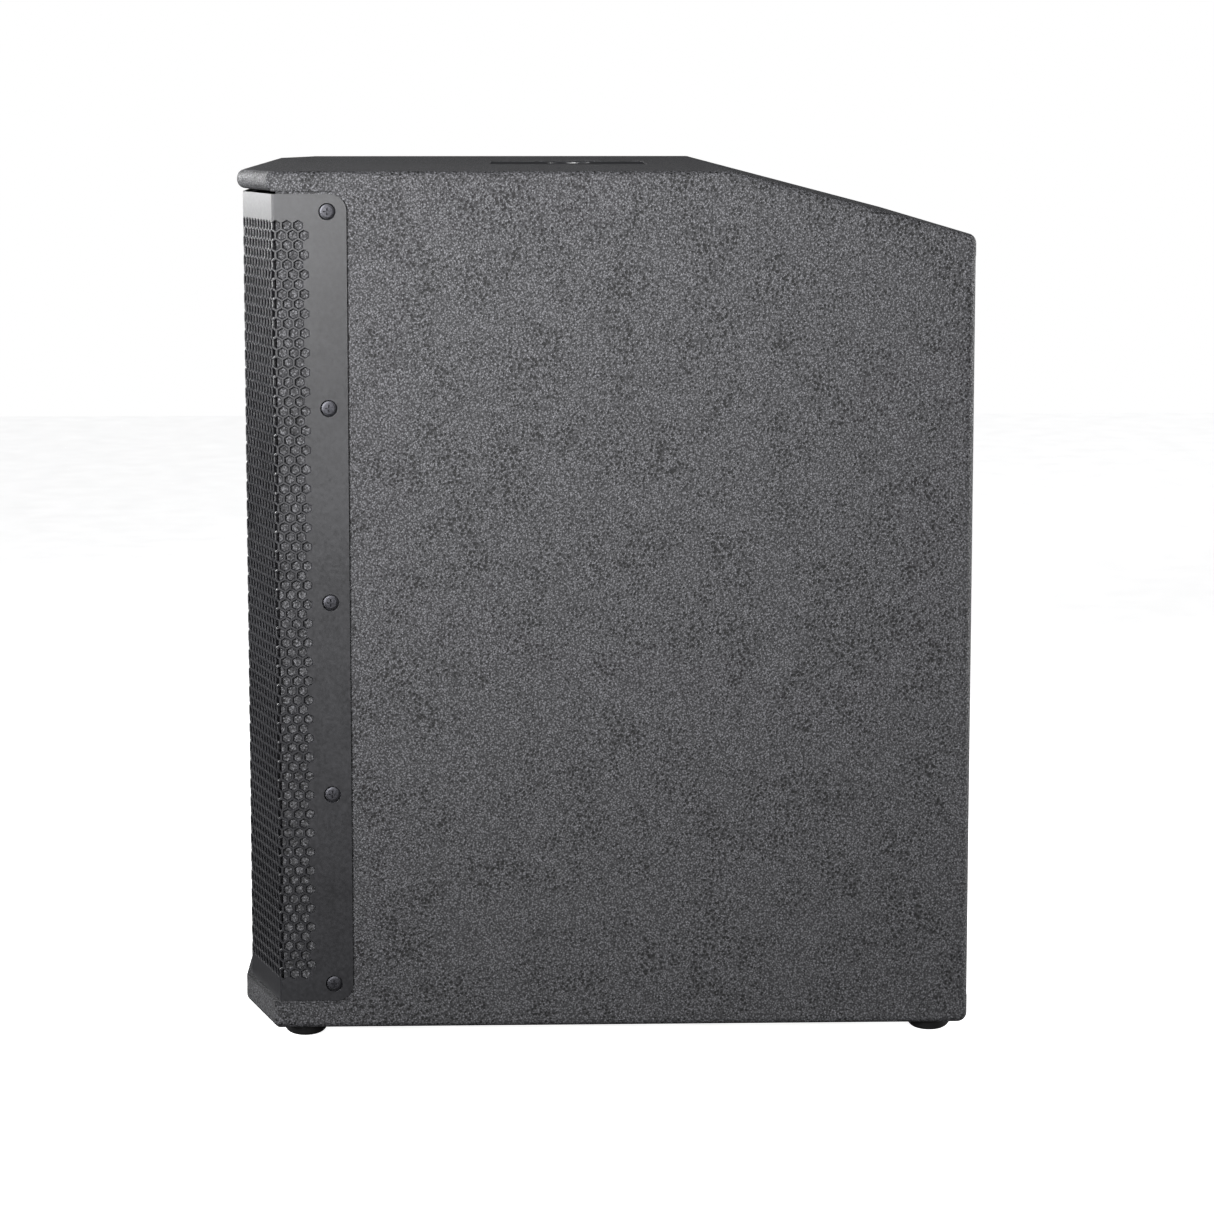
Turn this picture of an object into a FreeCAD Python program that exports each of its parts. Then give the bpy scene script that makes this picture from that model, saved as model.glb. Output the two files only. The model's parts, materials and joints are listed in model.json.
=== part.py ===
import FreeCAD, Part
import math
import os

from FreeCAD import Placement, Rotation, Vector

# A powered bass-reflex loudspeaker cabinet. Millimetres. +Z is up, -Y is the front, and the
# origin is on the floor under the middle of the cabinet.

# Cabinet
body_width = 575.0
body_height = 615.0
side_depth = 500.0
prow_depth = 26.0           # how far the top and bottom panels' noses stand ahead of their corners
facet_width = 77.0          # each angled front corner, measured across the width
side_thickness = 15.0
top_thickness = 14.0
bottom_thickness = 20.0
rear_thickness = 15.0
baffle_thickness = 18.0
slope_start = 326.0         # from the front corners back to where the top begins to fall
slope_angle = 14.7
edge_radius = 5.0
rear_edge_radius = 7.0
nose_corner_radius = 2.0
top_nose_radius = 6.5       # the top's nose is close to a half round
top_nose_length = 29.0      # from the nose's front back to where it meets the straight panel

# Feet
foot_height = 12.0
foot_radius = 16.0
foot_inset_x = 35.0
front_foot_inset = 20.0
rear_foot_inset = 24.0

# Grille
sheet = 1.5
recess_depth = 2.0
recess_gap = 2.0
lip_inset = 4.0             # the grille's bends and faces lie this far behind the nose's
flange_depth = 52.0
flange_corner_radius = 12.0
grille_bottom_gap = 0.5
grille_top_gap = 2.0
grille_foam_thickness = 6.0
grille_screw_count = 5
grille_screw_setback = 38.5
grille_screw_inset = 12.25
dimple_radius = 6.1
screw_clearance_radius = 2.75

# Woofer
baffle_setback = 33.5       # from the front corners back to the baffle's face
woofer_z = 370.0
frame_radius = 233.0
cutout_radius = 212.2
bolt_circle_radius = 221.0
bolt_count = 8
leg_count = 6
window_angle = 38.0

# Ports
port_x = 196.0
port_z = 103.0
port_radius = 50.0
port_length = 200.0

# Pole socket
pole_y = -20.0
pole_bore_radius = 17.6
pole_bore_depth = 74.0
pole_plate = 120.0
pole_screw_offset = 48.0

# Amplifier
amp_z = 300.0
amp_width = 326.0
amp_height = 396.0
amp_gap = 2.0
amp_plate_thickness = 3.0
sink_width = 256.0
sink_height = 196.0
sink_z = 255.0
fin_count = 20
fin_pitch = 12.0
fin_thickness = 2.5
housing_depth = 99.5
housing_wall = 1.5
control_z = 446.0
level_x = -75.0
crossover_x = -115.0
small_control_z = 408.0
socket_places = ((125.0, "input"), (85.0, "link"), (35.0, "input"), (-5.0, "link"))
knob_radius = 9.0
inlet_x = 92.0
power_z = 132.0
rocker_x = 40.0
rocker_tilt = 9.0

# Places worked out from the dimensions above
half_width = body_width / 2
inner_half = half_width - side_thickness
body_z = foot_height
top_z = body_z + body_height
floor_z = body_z + bottom_thickness
ceiling_z = top_z - top_thickness
nose_y = -(side_depth + prow_depth) / 2
corner_y = nose_y + prow_depth
rear_y = corner_y + side_depth
slope_y = corner_y + slope_start
slope_rise = math.tan(math.radians(slope_angle))
slope_depth = top_thickness / math.cos(math.radians(slope_angle))
rear_top_z = top_z - (rear_y - slope_y) * slope_rise
bend_y = corner_y + lip_inset
flange_x = half_width - recess_depth + sheet
grille_z0 = floor_z + grille_bottom_gap
grille_z1 = ceiling_z - grille_top_gap
screw_y = bend_y + grille_screw_setback
screw_pitch = (grille_z1 - grille_z0 - 2 * grille_screw_inset) / (grille_screw_count - 1)
screw_heights = [grille_z0 + grille_screw_inset + i * screw_pitch for i in range(grille_screw_count)]
baffle_y = corner_y + baffle_setback
baffle_back_y = baffle_y + baffle_thickness
rear_inner_y = rear_y - rear_thickness
amp_face_y = rear_inner_y + amp_plate_thickness
housing_back_y = rear_inner_y - housing_depth
housing_floor_y = housing_back_y + housing_wall
woofer_centre = Vector(0, 0, woofer_z)

AXIS_X = Vector(1, 0, 0)
AXIS_Y = Vector(0, 1, 0)
AXIS_Z = Vector(0, 0, 1)


# Shape helpers

def box(x0, x1, y0, y1, z0, z1):
    return Part.makeBox(x1 - x0, y1 - y0, z1 - z0, Vector(x0, y0, z0))


def rod(radius, start, end):
    run = end - start
    return Part.makeCylinder(radius, run.Length, start, run)


def y_rod(radius, x, z, y0, y1):
    return rod(radius, Vector(x, y0, z), Vector(x, y1, z))


def prism(points, sweep):
    return Part.Face(Part.makePolygon(points + [points[0]])).extrude(sweep)


def spun(edges, centre, axis, angle=360):
    """Turn a closed outline of (radius, 0, height) edges about an axis through a centre."""
    face = Part.Face(Part.Wire(edges))
    solid = face.revolve(Vector(0, 0, 0), AXIS_Z, angle)
    solid.Placement = Placement(centre, Rotation(AXIS_Z, axis))
    return solid


def turned(profile, centre, axis=AXIS_Y, angle=360):
    """Turn a closed outline of straight (radius, height) points."""
    points = [Vector(radius, 0, height) for radius, height in profile]
    return spun(Part.makePolygon(points + [points[0]]).Edges, centre, axis, angle)


def line(start, end):
    return Part.LineSegment(Vector(start[0], 0, start[1]), Vector(end[0], 0, end[1])).toShape()


def arc(start, middle, end):
    points = [Vector(point[0], 0, point[1]) for point in (start, middle, end)]
    return Part.Arc(*points).toShape()


def dome(rim, base, apex):
    """The edge of a spherical cap, from its rim to its top on the axis."""
    rise = apex - base
    radius = (rim ** 2 + rise ** 2) / (2 * abs(rise))
    centre = apex - math.copysign(radius, rise)
    half_angle = math.asin(rim / radius) / 2
    middle = (radius * math.sin(half_angle),
              centre + math.copysign(radius * math.cos(half_angle), rise))
    return arc((rim, base), middle, (0, apex))


def ring(outer, inner, y0, y1, centre=woofer_centre):
    return turned([(inner, y0), (outer, y0), (outer, y1), (inner, y1)], centre)


def mirrored(shape):
    return shape.mirror(Vector(0, 0, 0), AXIS_X)


def both_sides(shape):
    return [shape, mirrored(shape)]


def is_along(edge, axis):
    if not isinstance(edge.Curve, Part.Line):
        return False
    return abs(abs(edge.Curve.Direction.dot(axis)) - 1) < 1e-6


def lies_at(edge, **places):
    """True where both ends of an edge have the given x, y or z."""
    for name, place in places.items():
        for vertex in (edge.Vertexes[0], edge.Vertexes[-1]):
            if abs(getattr(vertex.Point, name) - place) > 1e-4:
                return False
    return True


def rounded(shape, radius, wanted):
    return shape.makeFillet(radius, [edge for edge in shape.Edges if wanted(edge)])


def plate(x, z, width, height, y0, y1, radius):
    """A plate facing the rear, with rounded corners, centred on x and z."""
    blank = box(x - width / 2, x + width / 2, y0, y1, z - height / 2, z + height / 2)
    return rounded(blank, radius, lambda edge: is_along(edge, AXIS_Y))


def offset_path(points, distance):
    """Move an open path sideways, to the left of its direction, with mitred corners."""
    normals = []
    for start, end in zip(points, points[1:]):
        run = (end - start).normalize()
        normals.append(Vector(-run.y, run.x, 0))
    before = [normals[0]] + normals
    after = normals + [normals[-1]]
    moved = []
    for point, first, second in zip(points, before, after):
        moved.append(point + (first + second) * (distance / (1 + first.dot(second))))
    return moved


def lead(points, radius):
    """A round lead of straight runs joined by the largest arcs that its runs allow."""
    edges = []
    start = points[0]
    for before, corner, after in zip(points, points[1:], points[2:]):
        run_in = before - corner
        run_out = after - corner
        cut = 0.45 * min(run_in.Length, run_out.Length)
        enter = corner + run_in.normalize() * cut
        leave = corner + run_out.normalize() * cut
        half_turn = (math.pi - run_in.getAngle(run_out)) / 2
        bisector = (run_in + run_out).normalize()
        bow = corner + bisector * (cut * (1 - math.cos(half_turn)) / math.sin(half_turn))
        edges.append(Part.LineSegment(start, enter).toShape())
        edges.append(Part.Arc(enter, bow, leave).toShape())
        print("lead bend radius", round(cut / math.tan(half_turn), 1))
        start = leave
    edges.append(Part.LineSegment(start, points[-1]).toShape())
    path = Part.Wire(edges)
    section = Part.Wire(Part.makeCircle(radius, points[0], points[1] - points[0]))
    return path.makePipeShell([section], True, True)


def cut_all(shape, tools):
    for tool in tools:
        shape = shape.cut(tool)
    return shape


def fuse_all(shapes):
    result = shapes[0].fuse(shapes[1:])
    return result.removeSplitter()


def save(name, shapes):
    """Write one node. A list of solids is one node of separate pieces."""
    group = shapes if isinstance(shapes, list) else [shapes]
    solids = [solid for shape in group for solid in shape.Solids]
    for solid in solids:
        assert solid.isValid() and solid.isClosed(), name
    shape = solids[0] if len(solids) == 1 else Part.makeCompound(solids)
    shape.exportStep("parts/" + name + ".step")
    print(name, len(solids), round(sum(solid.Volume for solid in solids) / 1000, 1), "cm3")


# Cabinet panels

def nose_outline(z, back):
    """The plan shape of the top and bottom panels: a rectangle with a shallow three-sided nose."""
    points = [(half_width, back), (half_width, corner_y), (half_width - facet_width, nose_y)]
    right = [Vector(x, y, z) for x, y in points]
    left = [Vector(-x, y, z) for x, y in reversed(points)]
    return right + left


def grille_recess(side):
    """The shallow pocket, with round rear corners, that a grille flange lies in."""
    inner_x = half_width - recess_depth
    pocket = box(inner_x, half_width + 5, corner_y - 10, bend_y + flange_depth + recess_gap,
                 grille_z0 - recess_gap, ceiling_z)
    pocket = rounded(pocket, flange_corner_radius + recess_gap,
                     lambda edge: is_along(edge, AXIS_X) and edge.CenterOfMass.y > corner_y)
    return pocket if side > 0 else mirrored(pocket)


def nose_corners(shape):
    return rounded(shape, nose_corner_radius,
                   lambda edge: is_along(edge, AXIS_Z) and edge.CenterOfMass.y < corner_y + 1)


def top_nose():
    """The front of the top panel, whose edges are rounder than the rest."""
    piece = nose_corners(prism(nose_outline(ceiling_z, corner_y + top_nose_length),
                               Vector(0, 0, top_thickness)))
    for height in (ceiling_z, top_z):
        piece = rounded(piece, top_nose_radius,
                        lambda edge: lies_at(edge, z=height) and edge.CenterOfMass.y < corner_y - 1)
    return piece.common(box(-half_width - 1, half_width + 1, nose_y - 1, nose_y + top_nose_length,
                            ceiling_z, top_z))


def top_panel():
    panel = box(-half_width, half_width, nose_y + top_nose_length, slope_y, ceiling_z, top_z)
    panel = rounded(panel, edge_radius, lambda edge: lies_at(edge, z=top_z) and is_along(edge, AXIS_Y))
    panel = fuse_all([panel, top_nose()])
    rebate = box(-pole_plate / 2 - 0.3, pole_plate / 2 + 0.3, pole_y - pole_plate / 2 - 0.3,
                 pole_y + pole_plate / 2 + 0.3, top_z - 3.2, top_z + 1)
    rebate = rounded(rebate, 10.3, lambda edge: is_along(edge, AXIS_Z))
    hole = rod(pole_bore_radius + 3.1, Vector(0, pole_y, ceiling_z - 1), Vector(0, pole_y, top_z))
    return cut_all(panel, [rebate, hole] + pole_screw_holes())


def bottom_panel():
    panel = prism(nose_outline(body_z, rear_y), Vector(0, 0, bottom_thickness))
    panel = nose_corners(panel)
    panel = rounded(panel, rear_edge_radius, lambda edge: lies_at(edge, z=body_z, y=rear_y))
    panel = rounded(panel, edge_radius,
                    lambda edge: lies_at(edge, z=body_z) and edge.CenterOfMass.y < rear_y - 8)
    holes = [rod(2, place + Vector(0, 0, -1), place + Vector(0, 0, 13)) for place in foot_places()]
    return cut_all(panel, [grille_recess(1), grille_recess(-1)] + holes)


def side_panel(side):
    under_slope = top_z - slope_depth
    points = [(bend_y + sheet + 1, floor_z), (rear_y, floor_z), (rear_y, rear_top_z - slope_depth),
              (slope_y, under_slope), (slope_y, ceiling_z), (bend_y + sheet + 1, ceiling_z)]
    panel = prism([Vector(inner_half, y, z) for y, z in points], Vector(side_thickness, 0, 0))
    panel = rounded(panel, rear_edge_radius,
                    lambda edge: lies_at(edge, x=half_width, y=rear_y))
    panel = panel if side > 0 else mirrored(panel)
    holes = []
    for z in screw_heights:
        floor_x = side * (half_width - recess_depth)
        inward = Vector(-side, 0, 0)
        holes.append(Part.makeCone(7.0, 2.8, 4.2, Vector(floor_x, screw_y, z), inward))
        holes.append(Part.makeCylinder(2.8, 20, Vector(floor_x, screw_y, z), inward))
    return cut_all(panel, [grille_recess(side)] + holes)


def rear_slope_panel():
    points = [(slope_y, top_z), (rear_y, rear_top_z), (rear_y, rear_top_z - slope_depth),
              (slope_y, top_z - slope_depth)]
    panel = prism([Vector(-half_width, y, z) for y, z in points], Vector(body_width, 0, 0))
    panel = rounded(panel, rear_edge_radius, lambda edge: lies_at(edge, y=rear_y, z=rear_top_z))

    def is_long_side(edge):
        outside = abs(abs(edge.CenterOfMass.x) - half_width) < 1e-4
        falls = edge.BoundBox.YLength > 20
        upper = edge.CenterOfMass.z > (top_z + rear_top_z) / 2 - 2
        return outside and falls and upper

    return rounded(panel, edge_radius, is_long_side)


def rear_panel():
    def under_slope(y):
        return rear_top_z - slope_depth + (rear_y - y) * slope_rise

    points = [(rear_y, floor_z), (rear_y, under_slope(rear_y)),
              (rear_inner_y, under_slope(rear_inner_y)), (rear_inner_y, floor_z)]
    panel = prism([Vector(-inner_half, y, z) for y, z in points], Vector(2 * inner_half, 0, 0))
    opening = plate(0, amp_z, amp_width + 2 * amp_gap, amp_height + 2 * amp_gap,
                    rear_inner_y - 1, rear_y + 1, 8)
    return panel.cut(opening)


def baffle():
    board = box(-inner_half, inner_half, baffle_y, baffle_back_y, floor_z, ceiling_z)
    tools = [y_rod(cutout_radius, 0, woofer_z, baffle_y - 1, baffle_back_y + 1)]
    for x in (-port_x, port_x):
        tools.append(y_rod(port_radius + 6.3, x, port_z, baffle_y - 1, baffle_back_y + 1))
    for x, z in bolt_places():
        tools.append(y_rod(4.3, x, z, baffle_y - 1, baffle_back_y + 1))
    for side in (-1, 1):
        for z in screw_heights:
            outer = Vector(side * inner_half, screw_y, z)
            tools.append(rod(2.5, outer, outer - Vector(side * 19, 0, 0)))
    return cut_all(board, tools)


def baffle_cleats():
    size = 20
    back = baffle_back_y + size
    upright = box(inner_half - size, inner_half, baffle_back_y, back, floor_z + 30, ceiling_z - 25)
    top = box(-230, 230, baffle_back_y, back, ceiling_z - size, ceiling_z)
    bottom = box(-120, 120, baffle_back_y, back, floor_z, floor_z + size)
    return both_sides(upright) + [top, bottom]


def cross_brace():
    return box(-inner_half, inner_half, 60, 78, 235, 315)


def damping_pads():
    pads = []
    for z0, z1 in ((floor_z + 10, 230), (320, ceiling_z - 25)):
        pads += both_sides(box(inner_half - 18, inner_half, -120, 140, z0, z1))
    return pads


# Feet

def foot_places():
    x = half_width - foot_inset_x
    return [Vector(side * x, y, body_z) for side in (-1, 1)
            for y in (corner_y + front_foot_inset, rear_y - rear_foot_inset)]


def foot(place):
    flat, shoulder = 8.0, 8.5
    edges = [line((4.6, 0), (flat, 0)),
             arc((flat, 0), (14.2, 2.8), (foot_radius, shoulder)),
             line((foot_radius, shoulder), (foot_radius, foot_height)),
             line((foot_radius, foot_height), (2.2, foot_height)),
             line((2.2, foot_height), (2.2, 6)),
             line((2.2, 6), (4.6, 6)),
             line((4.6, 6), (4.6, 0))]
    return spun(edges, Vector(place.x, place.y, 0), AXIS_Z)


def foot_screw(place):
    profile = [(0, 3), (4.2, 3), (4.2, 6), (1.95, 6), (1.95, 24), (0, 24)]
    return turned(profile, Vector(place.x, place.y, 0), AXIS_Z)


# Grille

def grille_path():
    """The grille's outer face in plan, from the left flange round the nose to the right flange."""
    left = [(-flange_x, bend_y + flange_depth), (-flange_x, bend_y),
            (facet_width - flange_x, nose_y + lip_inset)]
    right = [(-x, y) for x, y in reversed(left)]
    return [Vector(x, y, 0) for x, y in left + right]


def dimple(side, z):
    """A pressed cone that sinks a screw head below the flange."""
    tip = screw_clearance_radius
    deep = dimple_radius - tip
    back = sheet * math.sqrt(2)
    profile = [(dimple_radius, 0), (8, 0), (8, -sheet), (dimple_radius + back - sheet, -sheet),
               (tip, -deep - back), (tip, -deep)]
    return turned(profile, Vector(side * flange_x, screw_y, z), Vector(side, 0, 0))


def grille():
    outer = grille_path()
    inner = offset_path(outer, sheet)
    outline = [point + Vector(0, 0, grille_z0) for point in outer + inner[::-1]]
    bent = prism(outline, Vector(0, 0, grille_z1 - grille_z0))
    bend_points = [point for point in outer[1:-1]]

    def is_bend(edge):
        middle = edge.CenterOfMass
        near = [math.hypot(middle.x - p.x, middle.y - p.y) < 0.01 for p in bend_points]
        return is_along(edge, AXIS_Z) and any(near)

    bent = rounded(bent, 2.0, is_bend)
    bent = rounded(bent, flange_corner_radius,
                   lambda edge: is_along(edge, AXIS_X) and lies_at(edge, y=bend_y + flange_depth))
    for side in (-1, 1):
        for z in screw_heights:
            face = Vector(side * (flange_x + 1), screw_y, z)
            bent = bent.cut(Part.makeCylinder(8, 4, face, Vector(-side, 0, 0)))
            bent = bent.fuse(dimple(side, z))
    return bent


def grille_foam():
    """Open-cell foam laid on the back of the grille's front faces, clear of the side panels."""
    front = offset_path(grille_path(), sheet)[1:-1]
    back = offset_path(grille_path(), sheet + grille_foam_thickness)[1:-1]
    outline = [point + Vector(0, 0, grille_z0 + 1) for point in front + back[::-1]]
    sheet_of_foam = prism(outline, Vector(0, 0, grille_z1 - grille_z0 - 2))
    reach = inner_half - 1
    keep = box(-reach, reach, nose_y, baffle_y, 0, top_z)
    return sheet_of_foam.common(keep)


def grille_screw(side, z):
    head_depth = 0.95
    head, shank, length = dimple_radius - 1, 2.45, 32.0
    taper = head - shank
    profile = [(0, -head_depth + 0.5), (head - 1.2, -head_depth + 0.3), (head, -head_depth),
               (shank, -head_depth - taper), (shank, -length + 3), (0, -length)]
    screw = turned(profile, Vector(side * flange_x, screw_y, z), Vector(side, 0, 0))
    for width, height in ((5.4, 1.1), (1.1, 5.4)):
        slot = box(-2.4, 1, -width / 2, width / 2, -height / 2, height / 2)
        slot = slot if side > 0 else mirrored(slot)
        slot.translate(Vector(side * flange_x, screw_y, z))
        screw = screw.cut(slot)
    return screw


# Woofer: an axis along Y through woofer_centre; radii and y places are written as (radius, y)

def bolt_places():
    places = []
    for index in range(bolt_count):
        angle = math.radians((index + 0.5) * 360 / bolt_count)
        places.append((bolt_circle_radius * math.cos(angle),
                       woofer_z + bolt_circle_radius * math.sin(angle)))
    return places


def woofer_gasket():
    seal = ring(frame_radius - 1, cutout_radius + 0.3, baffle_y - 2, baffle_y)
    return cut_all(seal, [y_rod(3.5, x, z, baffle_y - 3, baffle_y + 1) for x, z in bolt_places()])


def woofer_frame():
    back = baffle_y - 2
    front = back - 8
    seat = front + 2.8
    wall = cutout_radius - 0.7
    profile = [(frame_radius, front), (frame_radius, back), (wall, back), (wall, back + 18),
               (112, -93), (56, -93), (56, -97), (97, -97), (112, -110), (112, -120),
               (129.5, -120), (205.5, back + 16), (205.5, seat), (213, seat), (213, front)]
    frame = turned(profile, woofer_centre)
    for index in range(leg_count):
        window = turned([(100, back + 22), (225, back + 22), (225, -124), (100, -124)],
                        woofer_centre, AXIS_Y, window_angle)
        turn = (index + 0.5) * 360 / leg_count - window_angle / 2
        window.rotate(woofer_centre, AXIS_Y, turn)
        frame = frame.cut(window)
    holes = [y_rod(3.5, x, z, front - 1, back + 1) for x, z in bolt_places()]
    return cut_all(frame, holes)


def woofer_terminals():
    block = box(160, 186, -162, -138, woofer_z - 14, woofer_z + 14)
    return block.cut(woofer_frame())


def woofer_surround():
    """A half-roll of treated cloth with a flat lip on the cone and another on the frame."""
    face = baffle_y - 7.2
    lift = face - 1.2
    edges = [line((176.5, lift), (182, lift)),
             arc((182, lift), (194, lift - 12), (206, lift)),
             line((206, lift), (212.5, lift)),
             line((212.5, lift), (212.5, face)),
             line((212.5, face), (204.8, face)),
             arc((204.8, face), (194, face - 11.6), (183.2, face)),
             line((183.2, face), (176.5, face)),
             line((176.5, face), (176.5, lift))]
    return spun(edges, woofer_centre, AXIS_Y)


def woofer_cone():
    lip = baffle_y - 7.2
    profile = [(182, lip), (176, lip), (51.3, -127.5), (51.3, -125), (176, lip + 2), (182, lip + 2)]
    return turned(profile, woofer_centre)


def woofer_dust_cap():
    rim, depth, wall = 72.0, 27.5, 1.6
    base = baffle_y - 7.2 + (176 - rim) * (-127.5 - baffle_y + 7.2) / (176 - 51.3)
    edges = [line((rim, base), (rim - wall, base)),
             dome(rim - wall, base, base - depth + wall),
             line((0, base - depth + wall), (0, base - depth)),
             dome(rim, base, base - depth)]
    return spun(edges, woofer_centre, AXIS_Y)


def voice_coil():
    profile = [(50, -130), (51, -130), (51, -97), (51.8, -97), (51.8, -71), (50, -71)]
    return turned(profile, woofer_centre)


def woofer_spider():
    """A corrugated cloth disc between the coil former and the frame's rear ledge."""
    inner, outer, level, swing, steps = 51.3, 124.0, -120.9, 2.0, 22
    waves = []
    for step in range(steps + 1):
        radius = 60 + (108 - 60) * step / steps
        waves.append((radius, level + swing * math.sin(step * math.pi / 2)))
    front = [(inner, level)] + waves + [(outer, level)]
    back = [(radius, y + 0.8) for radius, y in reversed(front)]
    return turned(front + back, woofer_centre)


def woofer_back_plate():
    profile = [(15, -92), (48.5, -92), (48.5, -56), (95, -56), (95, -44), (15, -44)]
    return turned(profile, woofer_centre)


def woofer_bolt(x, z):
    front = baffle_y - 10
    head = y_rod(5, x, z, front - 6, front)
    socket = y_rod(2.6, x, z, front - 7, front - 2.5)
    return head.fuse(y_rod(2.95, x, z, front, baffle_back_y + 6)).cut(socket).removeSplitter()


def tee_nut(x, z):
    profile = [(3.05, baffle_back_y - 10), (4.2, baffle_back_y - 10), (4.2, baffle_back_y),
               (10, baffle_back_y), (10, baffle_back_y + 1.5), (3.05, baffle_back_y + 1.5)]
    return turned(profile, Vector(x, 0, z))


def port_tube(side):
    inner, outer, mouth = port_radius, port_radius + 3, 12.0
    front = baffle_y - 3
    end = baffle_y + port_length
    bend = mouth * (1 - math.sqrt(0.5))
    edges = [arc((inner + mouth, front), (inner + bend, front + bend), (inner, front + mouth)),
             line((inner, front + mouth), (inner, end)),
             line((inner, end), (outer, end)),
             line((outer, end), (outer, baffle_back_y)),
             line((outer, baffle_back_y), (outer + 3, baffle_back_y)),
             line((outer + 3, baffle_back_y), (outer + 3, baffle_y)),
             line((outer + 3, baffle_y), (inner + 15, baffle_y)),
             line((inner + 15, baffle_y), (inner + 15, front)),
             line((inner + 15, front), (inner + mouth, front))]
    return spun(edges, Vector(side * port_x, 0, port_z), AXIS_Y)


def speaker_leads():
    leads = []
    for drop in (0, -9):
        route = [(60, housing_back_y, 400), (60, 112, 400), (80, 70, 398), (112, 30, 393), (150, -12, 388),
                 (182, -58, 382), (204, -100, 377), (214, -135, 374.5), (203, -150, 374.5),
                 (186, -150, 374.5)]
        leads.append(lead([Vector(x, y, z + drop) for x, y, z in route], 1.75))
    return leads


# Pole socket

def pole_screw_places():
    reach = pole_screw_offset
    return [Vector(x, pole_y + y, top_z - 0.2) for x in (-reach, reach) for y in (-reach, reach)]


def pole_screw_holes():
    return [rod(2.0, place, place - Vector(0, 0, 12)) for place in pole_screw_places()]


def pole_socket():
    face = top_z - 0.2
    half = pole_plate / 2
    flange = box(-half, half, pole_y - half, pole_y + half, face - 3, face)
    flange = rounded(flange, 10, lambda edge: is_along(edge, AXIS_Z))
    cup_radius = pole_bore_radius + 3
    bottom = face - pole_bore_depth - 3
    centre = Vector(0, pole_y, 0)
    cup = rod(cup_radius, centre + Vector(0, 0, bottom), centre + Vector(0, 0, face - 2))
    bore = rod(pole_bore_radius, centre + Vector(0, 0, bottom + 3), centre + Vector(0, 0, face + 1))
    sinks = []
    for place in pole_screw_places():
        sinks.append(Part.makeCone(5.2, 2.1, 3.1, place, Vector(0, 0, -1)))
    return cut_all(flange.fuse(cup).removeSplitter(), [bore] + sinks)


def pole_screw(place):
    profile = [(0, -0.1), (4.9, -0.1), (1.95, -3.05), (1.95, -11.5), (0, -11.5)]
    screw = turned(profile, place, AXIS_Z)
    for width, depth in ((5.0, 1.1), (1.1, 5.0)):
        slot = box(-width / 2, width / 2, -depth / 2, depth / 2, -2, 1)
        slot.translate(place)
        screw = screw.cut(slot)
    return screw


# Amplifier plate and what is fixed to it

def amp_screw_places():
    x = amp_width / 2 - 6.5
    reach = amp_height / 2 - 8
    return [(side * x, amp_z + reach * step / 2) for side in (-1, 1) for step in range(-2, 3)]


def amp_mounting_frame():
    depth = 18
    outer = box(-amp_width / 2 - 20, amp_width / 2 + 20, rear_inner_y - depth, rear_inner_y,
                amp_z - amp_height / 2 - 20, amp_z + amp_height / 2 + 20)
    inner = box(-150, 150, rear_inner_y - depth - 1, rear_inner_y + 1, amp_z - 185, amp_z + 185)
    holes = [y_rod(1.9, x, z, rear_inner_y - 14, rear_inner_y + 1) for x, z in amp_screw_places()]
    return cut_all(outer, [inner] + holes)


def amp_plate():
    blank = plate(0, amp_z, amp_width, amp_height, rear_inner_y, amp_face_y, 6)
    y0, y1 = rear_inner_y - 1, amp_face_y + 1
    tools = [box(-120, 120, y0, y1, sink_z - 90, sink_z + 90)]
    for x, kind in socket_places:
        tools.append(y_rod(12.2, x, control_z, y0, y1))
        if kind == "input":
            tools.append(box(x - 3.9, x + 3.9, y0, y1, control_z + 10, control_z + 14.7))
    for x in (level_x, crossover_x):
        tools.append(y_rod(3.7, x, control_z, y0, y1))
    tools.append(y_rod(3.9, level_x, small_control_z, y0, y1))
    for x in led_places():
        tools.append(y_rod(2.55, x, small_control_z, y0, y1))
    for x, z in amp_screw_places():
        tools.append(y_rod(2.3, x, z, y0, y1))
    tools.append(box(rocker_x - 8.1, rocker_x + 8.1, y0, y1, power_z - 11.6, power_z + 11.6))
    tools.append(box(inlet_x - 15.6, inlet_x + 27.6, y0, y1, power_z - 10.6, power_z + 10.6))
    return cut_all(blank, tools)


def amp_screw(x, z):
    face = amp_face_y
    profile = [(0, face + 2.4), (2.6, face + 2.1), (4, face + 0.8), (4, face), (1.85, face),
               (1.85, rear_inner_y - 13), (0, rear_inner_y - 13)]
    screw = turned(profile, Vector(x, 0, z))
    for width, height in ((4.2, 0.9), (0.9, 4.2)):
        slot = box(x - width / 2, x + width / 2, face + 0.7, face + 3, z - height / 2, z + height / 2)
        screw = screw.cut(slot)
    return screw


def heat_sink():
    half = sink_width / 2
    base = box(-half, half, rear_inner_y - 6, rear_inner_y, sink_z - sink_height / 2,
               sink_z + sink_height / 2)
    fins = []
    for index in range(fin_count):
        x = (index - (fin_count - 1) / 2) * fin_pitch
        fins.append(box(x - fin_thickness / 2, x + fin_thickness / 2, rear_inner_y - 1,
                        rear_y - 2.5, sink_z - 86, sink_z + 86))
    return fuse_all([base] + fins)


def amp_housing():
    half, reach, wall = 146, 181, housing_wall
    outer = box(-half, half, housing_back_y, rear_inner_y, amp_z - reach, amp_z + reach)
    inner = box(wall - half, half - wall, housing_floor_y, rear_inner_y + 1,
                amp_z - reach + wall, amp_z + reach - wall)
    return outer.cut(inner)


def circuit_boards():
    inputs = box(-138, 140, 214, 215.6, control_z - 55, control_z + 25)
    power = box(-130, 130, 196, 197.6, 260, 375)
    return [inputs, power]


def board_standoffs():
    return [y_rod(3, x, z, housing_floor_y, 196) for x in (-122, 122) for z in (268, 367)]


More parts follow.
